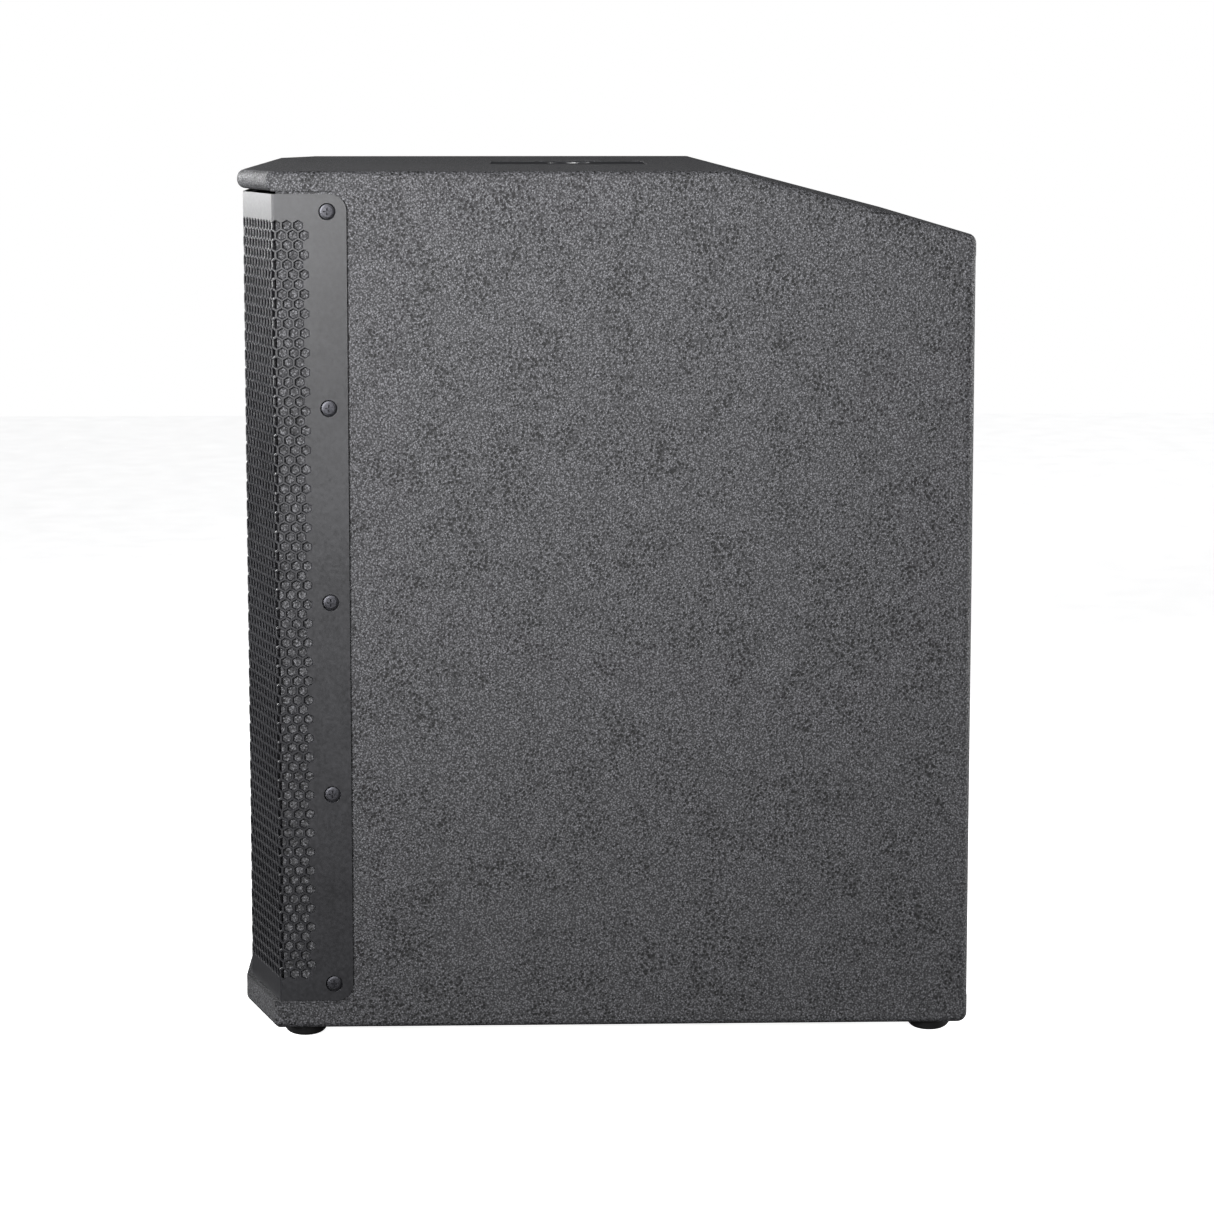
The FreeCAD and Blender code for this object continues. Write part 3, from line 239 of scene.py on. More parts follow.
# Every other finish mixes a fine grain with broad, faint patches. A finish may stretch its grain,
# or draw it as cells or as ridges instead of noise.
finishes = {
    # polyester powder coat on steel sheet: smooth satin black with a faint orange peel
    "grille_coat": {"name": "satinPowderCoat", "low": "#18181a", "high": "#222225", "grainMm": 2.4,
                    "rough": (0.3, 0.4), "bumpMm": 0.02, "shader": {"Specular IOR Level": 0.5}},
    # phosphated and oiled steel: almost black, with a dull metal glint on edges
    "black_screw": {"name": "blackOxideSteel", "low": "#2b2b2e", "high": "#48484c", "grainMm": 0.9,
                    "rough": (0.42, 0.58), "bumpMm": 0.02, "shader": {"Metallic": 1.0}},
    # bright zinc plate: pale blue-white metal with fine crystal mottling
    "zinc_steel": {"name": "zincPlatedSteel", "low": "#9ea3a9", "high": "#c9cdd2", "grainMm": 1.2,
                   "rough": (0.25, 0.42), "bumpMm": 0.02, "shader": {"Metallic": 1.0}},
    # reticulated polyurethane foam, cells drawn at 1.6 mm so they show
    "grille_foam": {"name": "openCellFoam", "kind": "cells", "low": "#060607", "high": "#1c1c1f",
                    "grainMm": 1.6, "rough": (0.9, 1.0), "bumpMm": 0.8,
                    "shader": {"Specular IOR Level": 0.15}},
    # compression-moulded rubber: matt black with a fine spark-eroded grain
    "foot_rubber": {"name": "mouldedRubber", "low": "#121213", "high": "#1f1f20", "grainMm": 0.8,
                    "rough": (0.6, 0.78), "bumpMm": 0.05, "shader": {"Specular IOR Level": 0.35}},
    # needled polyester wadding: pale grey tangled fibres with a soft bloom
    "damping_wool": {"name": "polyesterWadding", "low": "#8f9296", "high": "#d6d7d4", "grainMm": 2.2,
                     "stretch": (1.0, 1.0, 0.25), "detail": 8.0, "rough": (0.9, 1.0), "bumpMm": 1.5,
                     "shader": {"Sheen Weight": 0.4, "Sheen Roughness": 0.5,
                                "Specular IOR Level": 0.1}},
    # pressure die-cast aluminium under black powder coat: slightly grained skin
    "cast_frame": {"name": "coatedCastAluminium", "low": "#1a1b1c", "high": "#27282a",
                   "grainMm": 1.1, "rough": (0.42, 0.58), "bumpMm": 0.08},
    # closed-cell neoprene: dense, matt, faintly mottled
    "gasket": {"name": "neopreneGasket", "low": "#141415", "high": "#222224", "grainMm": 0.8,
               "rough": (0.7, 0.9), "bumpMm": 0.1, "shader": {"Specular IOR Level": 0.25}},
    # felted paper pulp, dyed black: short fibres lie every way
    "cone_paper": {"name": "dyedPaperPulp", "low": "#1b1b1c", "high": "#353433", "grainMm": 1.3,
                   "stretch": (1.0, 0.5, 1.7), "detail": 9.0, "rough": (0.75, 0.95), "bumpMm": 0.2,
                   "shader": {"Specular IOR Level": 0.25}},
    # doped cotton: woven ridges 0.9 mm apart under a dull sticky coat
    "surround_cloth": {"name": "dopedCotton", "kind": "weave", "low": "#101011", "high": "#2a2a2b",
                       "grainMm": 0.9, "rough": (0.45, 0.7), "bumpMm": 0.15},
    # phenolic-dipped cotton: amber brown weave, 1.1 mm threads
    "spider_cloth": {"name": "phenolicCotton", "kind": "weave", "low": "#6f4b25", "high": "#b98a4f",
                     "grainMm": 1.1, "rough": (0.6, 0.85), "bumpMm": 0.2},
    # enamelled copper wire wound side by side: 0.6 mm ridges round the former
    "coil_copper": {"name": "enamelledCopper", "kind": "ridges", "axis": "Y", "low": "#8a4a22",
                    "high": "#d88b52", "grainMm": 0.6, "rough": (0.2, 0.35), "bumpMm": 0.15,
                    "shader": {"Metallic": 1.0}},
    # turned low-carbon steel with a clear passivate: cool grey, fine lathe lines
    "motor_steel": {"name": "turnedSteel", "kind": "ridges", "axis": "Y", "low": "#7d8084",
                    "high": "#a5a8ac", "grainMm": 0.7, "rough": (0.28, 0.42), "bumpMm": 0.02,
                    "shader": {"Metallic": 1.0}},
    # sintered ferrite: charcoal ceramic with a powdery skin
    "ferrite": {"name": "sinteredFerrite", "low": "#2b2b2d", "high": "#3d3d40", "grainMm": 0.9,
                "rough": (0.6, 0.8), "bumpMm": 0.06},
    # fibre-filled phenolic: brown-black with pale flecks
    "terminal_plastic": {"name": "phenolicMoulding", "low": "#241b15", "high": "#3c2e24",
                         "grainMm": 0.9, "rough": (0.4, 0.6), "bumpMm": 0.03},
    # injection-moulded high-impact polystyrene with a fine texture
    "port_plastic": {"name": "texturedPolystyrene", "low": "#161617", "high": "#222223",
                     "grainMm": 0.8, "rough": (0.5, 0.65), "bumpMm": 0.06},
    # glass-filled nylon: satin black with faint flow marks
    "pole_cup": {"name": "glassFilledNylon", "low": "#19191a", "high": "#2a2a2c", "grainMm": 1.4,
                 "stretch": (1.0, 0.5, 1.0), "rough": (0.4, 0.55), "bumpMm": 0.05},
    # aluminium plate in fine-textured black powder coat
    "amp_panel": {"name": "fineTextureCoat", "low": "#151516", "high": "#232325", "grainMm": 0.8,
                  "rough": (0.5, 0.66), "bumpMm": 0.09},
    # black anodised extrusion: matt with draw lines up the fins
    "heat_sink": {"name": "blackAnodised", "low": "#131315", "high": "#2a2b2e", "grainMm": 0.7,
                  "stretch": (1.0, 1.0, 0.02), "rough": (0.34, 0.5), "bumpMm": 0.03,
                  "shader": {"Metallic": 0.6}},
    # hot-dip galvanised sheet: spangles about 9 mm across
    "galvanised": {"name": "galvanisedSheet", "kind": "spangle", "low": "#8d9397", "high": "#b9bfc2",
                   "grainMm": 9.0, "rough": (0.3, 0.5), "bumpMm": 0.01,
                   "shader": {"Metallic": 1.0}},
    # glass-epoxy board under green solder mask: tracks show as lighter lanes
    "circuit_board": {"name": "solderMask", "kind": "lanes", "low": "#0c3b24", "high": "#1f6a43",
                      "grainMm": 5.0, "rough": (0.25, 0.4), "bumpMm": 0.05},
    # shrunk PVC sleeve: deep blue-black gloss
    "capacitor_sleeve": {"name": "shrunkSleeve", "low": "#12182a", "high": "#1c2540", "grainMm": 6.0,
                         "rough": (0.22, 0.32), "bumpMm": 0.03},
    # overlapped polyester tape: yellow, edges every 6 mm
    "transformer_tape": {"name": "polyesterTape", "kind": "ridges", "axis": "X", "low": "#a8852a",
                         "high": "#d6b04a", "grainMm": 6.0, "rough": (0.2, 0.32), "bumpMm": 0.08},
    # transfer-moulded epoxy: matt black
    "epoxy": {"name": "mouldedEpoxy", "low": "#161617", "high": "#232324", "grainMm": 0.8,
              "rough": (0.5, 0.65), "bumpMm": 0.03},
    # glass-filled nylon shell with a shot-blasted face
    "socket_shell": {"name": "blastedNylon", "low": "#121213", "high": "#202021", "grainMm": 0.7,
                     "rough": (0.42, 0.56), "bumpMm": 0.05},
    # silver plate over brass: warm white metal with faint tarnish
    "plated_contacts": {"name": "silverPlate", "low": "#b8ad94", "high": "#dcd7ca", "grainMm": 1.5,
                        "rough": (0.15, 0.3), "bumpMm": 0.01, "shader": {"Metallic": 1.0}},
    # pressed stainless spring strip: bright with rolling lines
    "latch_steel": {"name": "rolledStainless", "low": "#a7aaad", "high": "#cdd0d2", "grainMm": 0.6,
                    "stretch": (1.0, 1.0, 0.1), "rough": (0.2, 0.34), "bumpMm": 0.01,
                    "shader": {"Metallic": 1.0}},
    # moulded ABS with a soft satin skin
    "knob_plastic": {"name": "satinAbs", "low": "#1b1b1d", "high": "#29292b", "grainMm": 0.8,
                     "rough": (0.38, 0.5), "bumpMm": 0.03},
    # moulded polycarbonate blend, slightly glossier than its panel
    "switch_plastic": {"name": "mouldedPolycarbonate", "low": "#0f0f10", "high": "#1b1b1c",
                       "grainMm": 1.1, "rough": (0.26, 0.36), "bumpMm": 0.02,
                       "shader": {"Coat Weight": 0.1}},
    # water-clear epoxy lens over an unlit green chip: milky, pale green
    "led_lens": {"name": "frostedEpoxyLens", "low": "#9fb8a0", "high": "#d3e2cf", "grainMm": 1.2,
                 "rough": (0.12, 0.22), "bumpMm": 0.01,
                 "shader": {"Transmission Weight": 0.35, "IOR": 1.5}},
    # screen-printed epoxy ink: off-white, matt, a little uneven in cover
    "panel_ink": {"name": "screenPrintedInk", "low": "#b4b4b0", "high": "#dcdcd8", "grainMm": 0.8,
                  "rough": (0.5, 0.65), "bumpMm": 0.01},
    # soft PVC cable jacket
    "lead_jacket": {"name": "softPvc", "low": "#7d1612", "high": "#9c241c", "grainMm": 2.0,
                    "rough": (0.35, 0.5), "bumpMm": 0.03},
}


# Rotary-cut birch plywood, bare inside the box: honey-coloured figure, brown glue lines 1.5 mm apart.
plySettings = {"figureMm": 9.0, "plyMm": 1.5, "pale": "#d3b487", "dark": "#a88557", "glue": "#7b5a36",
               "bumpMm": 0.1, "shader": {"Specular IOR Level": 0.3}}


def makePlywood(name, settings):
    material, tree, place = startMaterial(name, stretch=(0.15, 1, 1))
    figure = addNode(tree, "ShaderNodeTexNoise", {"Scale": perMetre(settings["figureMm"]),
                                                  "Detail": 6.0, "Distortion": 0.6},
                     {"Vector": place})
    plies = addNode(tree, "ShaderNodeTexWave", {"bands_direction": "Y",
                                                "Scale": perMetre(settings["plyMm"]) / 20},
                    {"Vector": place})
    ramp = addNode(tree, "ShaderNodeValToRGB", {}, {"Fac": figure.outputs["Fac"]})
    setStops(ramp, [(0.3, settings["dark"]), (0.6, settings["pale"])])
    lines = addNode(tree, "ShaderNodeMapRange", {"From Min": 0.0, "From Max": 0.25, "To Min": 0.6,
                                                 "To Max": 0.0}, {"Value": plies.outputs["Fac"]})
    tone = addNode(tree, "ShaderNodeMixRGB", {"Color2": linear(settings["glue"])},
                   {"Fac": lines.outputs[0], "Color1": ramp.outputs["Color"]})
    rough = addNode(tree, "ShaderNodeMapRange", {"To Min": 0.5, "To Max": 0.75},
                    {"Value": figure.outputs["Fac"]})
    finishMaterial(tree, tone.outputs["Color"], rough.outputs[0], figure.outputs["Fac"], settings)
    return material


def grainOf(tree, place, settings):
    scale = perMetre(settings["grainMm"])
    kind = settings.get("kind", "noise")
    if kind == "noise":
        grain = addNode(tree, "ShaderNodeTexNoise", {"Scale": scale, "Roughness": 0.6,
                                                     "Detail": settings.get("detail", 3.0)},
                        {"Vector": place})
        return grain.outputs["Fac"]
    if kind == "cells":
        grain = addNode(tree, "ShaderNodeTexVoronoi", {"Scale": scale}, {"Vector": place})
        return grain.outputs["Distance"]
    if kind == "spangle":
        cells = addNode(tree, "ShaderNodeTexVoronoi", {"Scale": scale}, {"Vector": place})
        grey = addNode(tree, "ShaderNodeRGBToBW", {}, {"Color": cells.outputs["Color"]})
        return grey.outputs["Val"]
    if kind == "lanes":
        cells = addNode(tree, "ShaderNodeTexVoronoi", {"Scale": scale, "distance": "CHEBYCHEV",
                                                       "Randomness": 0.7}, {"Vector": place})
        lanes = addNode(tree, "ShaderNodeMath", {"operation": "PINGPONG", 1: 0.12},
                        {0: cells.outputs["Distance"]})
        spread = addNode(tree, "ShaderNodeMapRange", {"From Max": 0.12}, {"Value": lanes.outputs[0]})
        return spread.outputs[0]
    # a wave texture repeats 20 / 2 pi times in a metre at a scale of 1
    waveScale = scale * 2 * math.pi / 20
    if kind == "ridges":
        ridges = addNode(tree, "ShaderNodeTexWave", {"Scale": waveScale, "Distortion": 0.3,
                                                     "bands_direction": settings["axis"]},
                         {"Vector": place})
        return ridges.outputs["Fac"]
    warp = addNode(tree, "ShaderNodeTexWave", {"Scale": waveScale, "bands_direction": "X"},
                   {"Vector": place})
    weft = addNode(tree, "ShaderNodeTexWave", {"Scale": waveScale, "bands_direction": "Z"},
                   {"Vector": place})
    woven = addNode(tree, "ShaderNodeMath", {"operation": "MULTIPLY"},
                    {0: warp.outputs["Fac"], 1: weft.outputs["Fac"]})
    return woven.outputs[0]


# Handling and dust leave broad patches on every finish, a little darker or lighter than the rest.
patchSettings = {"sizeMm": 70, "depth": 0.12}


def makeFinish(settings):
    material, tree, place = startMaterial(settings["name"], stretch=settings.get("stretch", (1, 1, 1)))
    grain = grainOf(tree, place, settings)
    patches = addNode(tree, "ShaderNodeTexNoise", {"Scale": perMetre(patchSettings["sizeMm"]),
                                                   "Detail": 4.0}, {"Vector": place})
    tone = addNode(tree, "ShaderNodeMapRange", {"From Min": 0.25, "From Max": 0.75,
                                                "To Min": -patchSettings["depth"],
                                                "To Max": patchSettings["depth"]},
                   {"Value": patches.outputs["Fac"]})
    both = addNode(tree, "ShaderNodeMath", {"operation": "ADD"},
                   {0: grain, 1: tone.outputs[0]})
    ramp = addNode(tree, "ShaderNodeValToRGB", {}, {"Fac": both.outputs[0]})
    setStops(ramp, [(0.25, settings["low"]), (0.75, settings["high"])])
    low, high = settings["rough"]
    rough = addNode(tree, "ShaderNodeMapRange", {"From Min": 0.2, "From Max": 0.8, "To Min": low,
                                                 "To Max": high}, {"Value": both.outputs[0]})
    finishMaterial(tree, ramp.outputs["Color"], rough.outputs[0], grain, settings)
    return material


materials = {slot: makeFinish(settings) for slot, settings in finishes.items()}
materials["textured_paint"] = makePaint("structuredPolyureaPaint", paintSettings)
materials["birch_ply"] = makePlywood("birchPlywood", plySettings)

for part in frame["record"]["subparts"]:
    mesh = frame["nodes"][part["node"]].data
    mesh.materials.clear()
    mesh.materials.append(materials[part["material_slot"]])
# the opening in the rear panel is sprayed with the cabinet, and its frame with it
frame["nodes"]["amp_mounting_frame"].data.materials[0] = materials["textured_paint"]
# the whole pole socket takes the grille's powder coat instead of its own nylon finish
frame["nodes"]["pole_socket"].data.materials[0] = materials["grille_coat"]
print("finishes assigned:", len(materials))


# Mesh helpers

def everything(bm):
    return bm.verts[:] + bm.edges[:] + bm.faces[:]


def addPiece(name, bm, slot, replaced=()):
    mesh = bpy.data.meshes.new(name)
    bm.to_mesh(mesh)
    bm.free()
    piece = bpy.data.objects.new(name, mesh)
    bpy.context.scene.collection.objects.link(piece)
    mesh.materials.append(materials[slot])
    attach(piece, "cabinet")
    if replaced:
        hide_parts(*replaced)
    return piece


def thicken(piece, thickness):
    wall = piece.modifiers.new("wall", "SOLIDIFY")
    wall.thickness = thickness
    wall.offset = -1.0
    wall.use_even_offset = True


def repeat(bm, step, count):
    first = everything(bm)
    for index in range(1, count):
        copy = bmesh.ops.duplicate(bm, geom=first)
        verts = [item for item in copy["geom"] if isinstance(item, bmesh.types.BMVert)]
        bmesh.ops.translate(bm, verts=verts, vec=step * index)


def cutAway(bm, point, normal):
    bmesh.ops.bisect_plane(bm, geom=everything(bm), dist=cutGrip, plane_co=point, plane_no=normal,
                           clear_outer=True)


def faceOutwards(bm, outward):
    leaning = sum(face.normal.dot(outward) * face.calc_area() for face in bm.faces)
    if leaning < 0:
        bmesh.ops.reverse_faces(bm, faces=bm.faces[:])


# Grille: perforated steel sheet, built flat beside the flange, then folded round the nose

grilleSettings = {
    "rowPitch": 6.885 * mm,
    "land": 0.5 * mm,           # half of the flat top of each bar
    "roll": 0.65 * mm,          # the rolled edge of each hole, in width and depth
    "rows": 79,
    "marginRows": 4,
    "firstRow": 52.1 * mm,
    "sheet": 1.5 * mm,
    "facetAcross": 77 * mm,
    "flangeDepth": 52 * mm,
    "cornerRadius": 12 * mm,
    "cornerCuts": (12, 29, 45, 61, 78),     # degrees round each rear corner of the flange
    "flangeBendStep": 1.16 * mm,
    "noseBendStep": 0.36 * mm,
    "spareColumns": 2,          # columns built past a joint or an edge, then cut off
    "frontColumns": 26,         # whole columns from the middle to the joint beside the nose's bend
    "bendColumn": 37,           # the column that lies just past the flange's bend
    "bendColumnLead": 2.05 * mm,
    "holeColumnsOnFlange": 3,
    "holeColumnGap": 0.25,      # a share of a column left unpunched behind the last holes
    "screwBack": 38.5 * mm,
    "screwInset": 12.25 * mm,
    "screwCount": 5,
    "dimpleRadius": 6.1 * mm,
    "dimpleSides": 28,
    "dimpleClear": 0.8 * mm,    # cells this near a dimple's rim are remade with it
    # each step of a dimple: its radius as a share of the last one's, and how far it goes down
    "dimpleSteps": ((0.97, 0.12 * mm), (0.93, 1.6 * mm), (0.5, 1.6 * mm)),
}


def honeycomb(columns, rows, settings, pitch):
    # hexagons standing in the YZ plane, the first one's centre at the origin
    radius = settings["rowPitch"] / 1.5
    standing = Matrix(((0, 0, 1, 0), (1, 0, 0, 0), (0, 1, 0, 0), (0, 0, 0, 1)))
    bm = bmesh.new()
    bmesh.ops.create_circle(bm, cap_ends=True, segments=6, radius=radius, matrix=standing)
    squeeze = pitch / (radius * math.sqrt(3))
    bmesh.ops.scale(bm, vec=(1, squeeze, 1), verts=bm.verts[:])
    repeat(bm, Vector((0, pitch, 0)), columns)
    copy = bmesh.ops.duplicate(bm, geom=everything(bm))
    verts = [item for item in copy["geom"] if isinstance(item, bmesh.types.BMVert)]
    bmesh.ops.translate(bm, verts=verts, vec=(0, pitch / 2, settings["rowPitch"]))
    repeat(bm, Vector((0, 0, 2 * settings["rowPitch"])), (rows + 1) // 2)
    bmesh.ops.remove_doubles(bm, verts=bm.verts[:], dist=weldReach)
    faceOutwards(bm, Vector((1, 0, 0)))
    return bm


def perforate(bm, settings, lastHole):
    top = settings["firstRow"] + (settings["rows"] - 0.5) * settings["rowPitch"]
    bottom = settings["firstRow"] - 0.5 * settings["rowPitch"]
    holes = []
    for face in bm.faces:
        centre = face.calc_center_median()
        if bottom < centre.z < top and centre.y < lastHole:
            holes.append(face)
    bmesh.ops.inset_individual(bm, faces=holes, thickness=settings["land"], use_even_offset=True)
    bmesh.ops.inset_individual(bm, faces=holes, thickness=settings["roll"], depth=-settings["roll"],
                               use_even_offset=True)
    bmesh.ops.delete(bm, geom=holes, context="FACES")


def pressDimple(bm, place, settings):
    # the flat cells round a screw give way to a ring, and the ring is pressed into a cone
    reach = settings["dimpleRadius"] + settings["dimpleClear"]
    near = [face for face in bm.faces if min((v.co - place).length for v in face.verts) < reach
            or (face.calc_center_median() - place).length < reach]
    nearSet = set(near)
    rim = [edge for edge in bm.edges if len(nearSet.intersection(edge.link_faces)) == 1]
    bmesh.ops.delete(bm, geom=near, context="FACES_KEEP_BOUNDARY")
    turned = Matrix.Translation(place) @ Matrix.Rotation(math.radians(90), 4, "Y")
    circle = bmesh.ops.create_circle(bm, segments=settings["dimpleSides"],
                                     radius=settings["dimpleRadius"], matrix=turned)
    circleVerts = set(circle["verts"])
    ring = [edge for edge in bm.edges if circleVerts.issuperset(edge.verts)]
    bmesh.ops.triangle_fill(bm, edges=rim + ring, use_beauty=True, normal=(1, 0, 0))
    for share, sink in settings["dimpleSteps"]:
        made = bmesh.ops.extrude_edge_only(bm, edges=ring)["geom"]
        verts = [item for item in made if isinstance(item, bmesh.types.BMVert)]
        ring = [item for item in made if isinstance(item, bmesh.types.BMEdge)
                and item.verts[0] in verts and item.verts[1] in verts]
        bmesh.ops.scale(bm, vec=(1, share, share), verts=verts, space=Matrix.Translation(-place))
        bmesh.ops.translate(bm, vec=(-sink, 0, 0), verts=verts)


def bendPlan(settings, corner, noseCorner):
    # fold lines on the flat sheet, front one first, as (y, degrees); a bend is three small folds
    run = noseCorner - corner
    facetLength = run.length
    flangeAngle = math.degrees(math.atan2(-run.x, -run.y))
    noseAngle = 90 - flangeAngle

    def tangent(step, degrees):
        turn = math.radians(degrees)
        return step * math.cos(turn / 6) / math.cos(turn / 2)

    step, noseStep = settings["flangeBendStep"], settings["noseBendStep"]
    reach, noseReach = tangent(step, flangeAngle), tangent(noseStep, noseAngle)
    flangeLine = corner.y + reach
    noseLine = corner.y + 2 * (reach - step) - (facetLength - noseReach)
    plan = [(noseLine - index * noseStep, noseAngle / 3) for index in (2, 1, 0)]
    plan += [(flangeLine - index * step, flangeAngle / 3) for index in (2, 1, 0)]
    middle = plan[0][0] + noseReach - noseCorner.x
    return plan, middle


def foldForward(bm, plan, sheetX):
    for line, _ in plan:
        bmesh.ops.bisect_plane(bm, geom=everything(bm), dist=cutGrip, plane_co=(0, line, 0),
                               plane_no=(0, 1, 0))
    flat = [(vert, vert.co.y) for vert in bm.verts]
    for line, degrees in plan:
        ahead = [vert for vert, y in flat if y < line - 1e-6]
        bmesh.ops.rotate(bm, verts=ahead, cent=(sheetX, line, 0),
                         matrix=Matrix.Rotation(math.radians(-degrees), 3, "Z"))


def trimHeight(bm, low, high):
    cutAway(bm, (0, 0, low), (0, 0, -1))
    cutAway(bm, (0, 0, high), (0, 0, 1))


def mirrorAcross(bm):
    bmesh.ops.scale(bm, vec=(-1, 1, 1), verts=bm.verts[:])
    bmesh.ops.reverse_faces(bm, faces=bm.faces[:])


def grilleSide(side, settings, low, high, corner, noseCorner):
    plan, middle = bendPlan(settings, corner, noseCorner)
    flangeStart = plan[4][0]
    pitch = (flangeStart - middle + settings["bendColumnLead"]) / settings["bendColumn"]
    first = settings["frontColumns"] - settings["spareColumns"]
    rows = settings["rows"] + 2 * settings["marginRows"] + 1
    columns = int((high.y - middle) / pitch) - first + settings["spareColumns"]
    bm = honeycomb(columns, rows, settings, pitch)
    bottom = settings["firstRow"] - settings["marginRows"] * settings["rowPitch"]
    bmesh.ops.translate(bm, verts=bm.verts[:], vec=(high.x, middle + first * pitch, bottom))
    lastColumn = settings["bendColumn"] + settings["holeColumnsOnFlange"] - settings["holeColumnGap"]
    perforate(bm, settings, middle + lastColumn * pitch)
    rise = (high.z - low.z - 2 * settings["screwInset"]) / (settings["screwCount"] - 1)
    for index in range(settings["screwCount"]):
        z = low.z + settings["screwInset"] + index * rise
        pressDimple(bm, Vector((high.x, corner.y + settings["screwBack"], z)), settings)
    trimHeight(bm, low.z, high.z)
    cutAway(bm, (0, high.y, 0), (0, 1, 0))
    radius = settings["cornerRadius"]
    for z, up in ((high.z - radius, 1), (low.z + radius, -1)):
        for degrees in settings["cornerCuts"]:
            turn = math.radians(degrees)
            out = Vector((0, math.cos(turn), up * math.sin(turn)))
            cutAway(bm, Vector((high.x, high.y - radius, z)) + out * radius, out)
    faceOutwards(bm, Vector((1, 0, 0)))
    foldForward(bm, plan, high.x)
    joint = (settings["frontColumns"] - 0.5) * pitch
    cutAway(bm, (joint, 0, 0), (-1, 0, 0))
    if side < 0:
        mirrorAcross(bm)
    return bm


def grilleFront(side, settings, low, high, corner, noseCorner):
    plan, middle = bendPlan(settings, corner, noseCorner)
    pitch = (plan[4][0] - middle + settings["bendColumnLead"]) / settings["bendColumn"]
    rows = settings["rows"] + 2 * settings["marginRows"] + 1
    bm = honeycomb(settings["frontColumns"] + settings["spareColumns"], rows, settings, pitch)
    bottom = settings["firstRow"] - settings["marginRows"] * settings["rowPitch"]
    bmesh.ops.translate(bm, verts=bm.verts[:], vec=(0, -pitch, bottom))
    perforate(bm, settings, 1.0)
    trimHeight(bm, low.z, high.z)
    bmesh.ops.rotate(bm, verts=bm.verts[:], cent=(0, 0, 0),
                     matrix=Matrix.Rotation(math.radians(-90), 3, "Z"))
    bmesh.ops.translate(bm, verts=bm.verts[:], vec=(0, noseCorner.y, 0))
    cutAway(bm, (0, 0, 0), (-1, 0, 0))
    cutAway(bm, ((settings["frontColumns"] - 0.5) * pitch, 0, 0), (1, 0, 0))
    if side < 0:
        mirrorAcross(bm)
    return bm


grilleLow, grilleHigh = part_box("grille")
flangeCorner = Vector((grilleHigh.x, grilleHigh.y - grilleSettings["flangeDepth"], 0))
noseCorner = Vector((grilleHigh.x - grilleSettings["facetAcross"], grilleLow.y, 0))
for sideName, side in (("right", 1), ("left", -1)):
    sheetSide = grilleSide(side, grilleSettings, grilleLow, grilleHigh, flangeCorner, noseCorner)
    piece = addPiece("grille_" + sideName + "_flange", sheetSide, "grille_coat", ["grille"])
    thicken(piece, grilleSettings["sheet"])
    sheetFront = grilleFront(side, grilleSettings, grilleLow, grilleHigh, flangeCorner, noseCorner)
    piece = addPiece("grille_" + sideName + "_front", sheetFront, "grille_coat", ["grille"])
    thicken(piece, grilleSettings["sheet"])
print("grille perforated and folded")


# Foam on the back of the grille's front faces

foamSettings = {"gap": 0.25 * mm, "thickness": 5.4 * mm, "endX": 271 * mm, "cell": 9 * mm,
                "ripple": 0.15 * mm, "rippleLength": 25 * mm, "edge": 1.0 * mm}


def bentFoam(settings, sheetThickness, low, high, corner, noseCorner):
    turn = math.atan2(corner.y - noseCorner.y, corner.x - noseCorner.x)
    inset = sheetThickness + settings["gap"]
    bendX = noseCorner.x - inset * math.tan(turn / 2)
    facet = (settings["endX"] - bendX) / math.cos(turn)
    y = noseCorner.y + inset
    width = bendX + facet
    height = high.z - low.z - 2 * settings["edge"]
    bm = bmesh.new()
    facing = Matrix.Rotation(math.radians(90), 4, "X")
    bmesh.ops.create_grid(bm, x_segments=int(width / settings["cell"]),
                          y_segments=int(height / settings["cell"]), size=0.5, matrix=facing)
    bmesh.ops.scale(bm, vec=(width, 1, height), verts=bm.verts[:])
    bmesh.ops.translate(bm, vec=(width / 2, y, (low.z + high.z) / 2), verts=bm.verts[:])
    bmesh.ops.bisect_plane(bm, geom=everything(bm), dist=cutGrip, plane_co=(bendX, 0, 0),
                           plane_no=(1, 0, 0))
    beyond = [vert for vert in bm.verts if vert.co.x > bendX + 1e-6]
    bmesh.ops.rotate(bm, verts=beyond, cent=(bendX, y, 0), matrix=Matrix.Rotation(turn, 3, "Z"))
    for vert in bm.verts:
        vert.co.y += settings["ripple"] * noise.noise(vert.co / settings["rippleLength"])
    copy = bmesh.ops.duplicate(bm, geom=everything(bm))
    verts = [item for item in copy["geom"] if isinstance(item, bmesh.types.BMVert)]
    faces = [item for item in copy["geom"] if isinstance(item, bmesh.types.BMFace)]
    bmesh.ops.scale(bm, vec=(-1, 1, 1), verts=verts)
    bmesh.ops.reverse_faces(bm, faces=faces)
    bmesh.ops.remove_doubles(bm, verts=bm.verts[:], dist=weldReach)
    faceOutwards(bm, Vector((0, -1, 0)))
    return bm


foam = addPiece("grille_foam_sheet",
                bentFoam(foamSettings, grilleSettings["sheet"], grilleLow, grilleHigh,
                         flangeCorner, noseCorner), "grille_foam", ["grille_foam"])
thicken(foam, foamSettings["thickness"])


# Damping wadding stapled inside the side walls

waddingSettings = {
    "low": (-120 * mm, 42 * mm), "high": (140 * mm, 588 * mm),
    "split": (230 * mm, 320 * mm), "thickness": 18 * mm, "wallX": 272.5 * mm,
    "slack": 4.0 * mm, "dimple": 6.0 * mm, "cuts": 23,
    "foldLength": 35 * mm,      # between one sagging fold and the next
    "edgePinch": 0.45,          # how far the stapled edges thin, as a share of the thickness
    "tuftSpread": 0.01, "relax": 0.4,
}


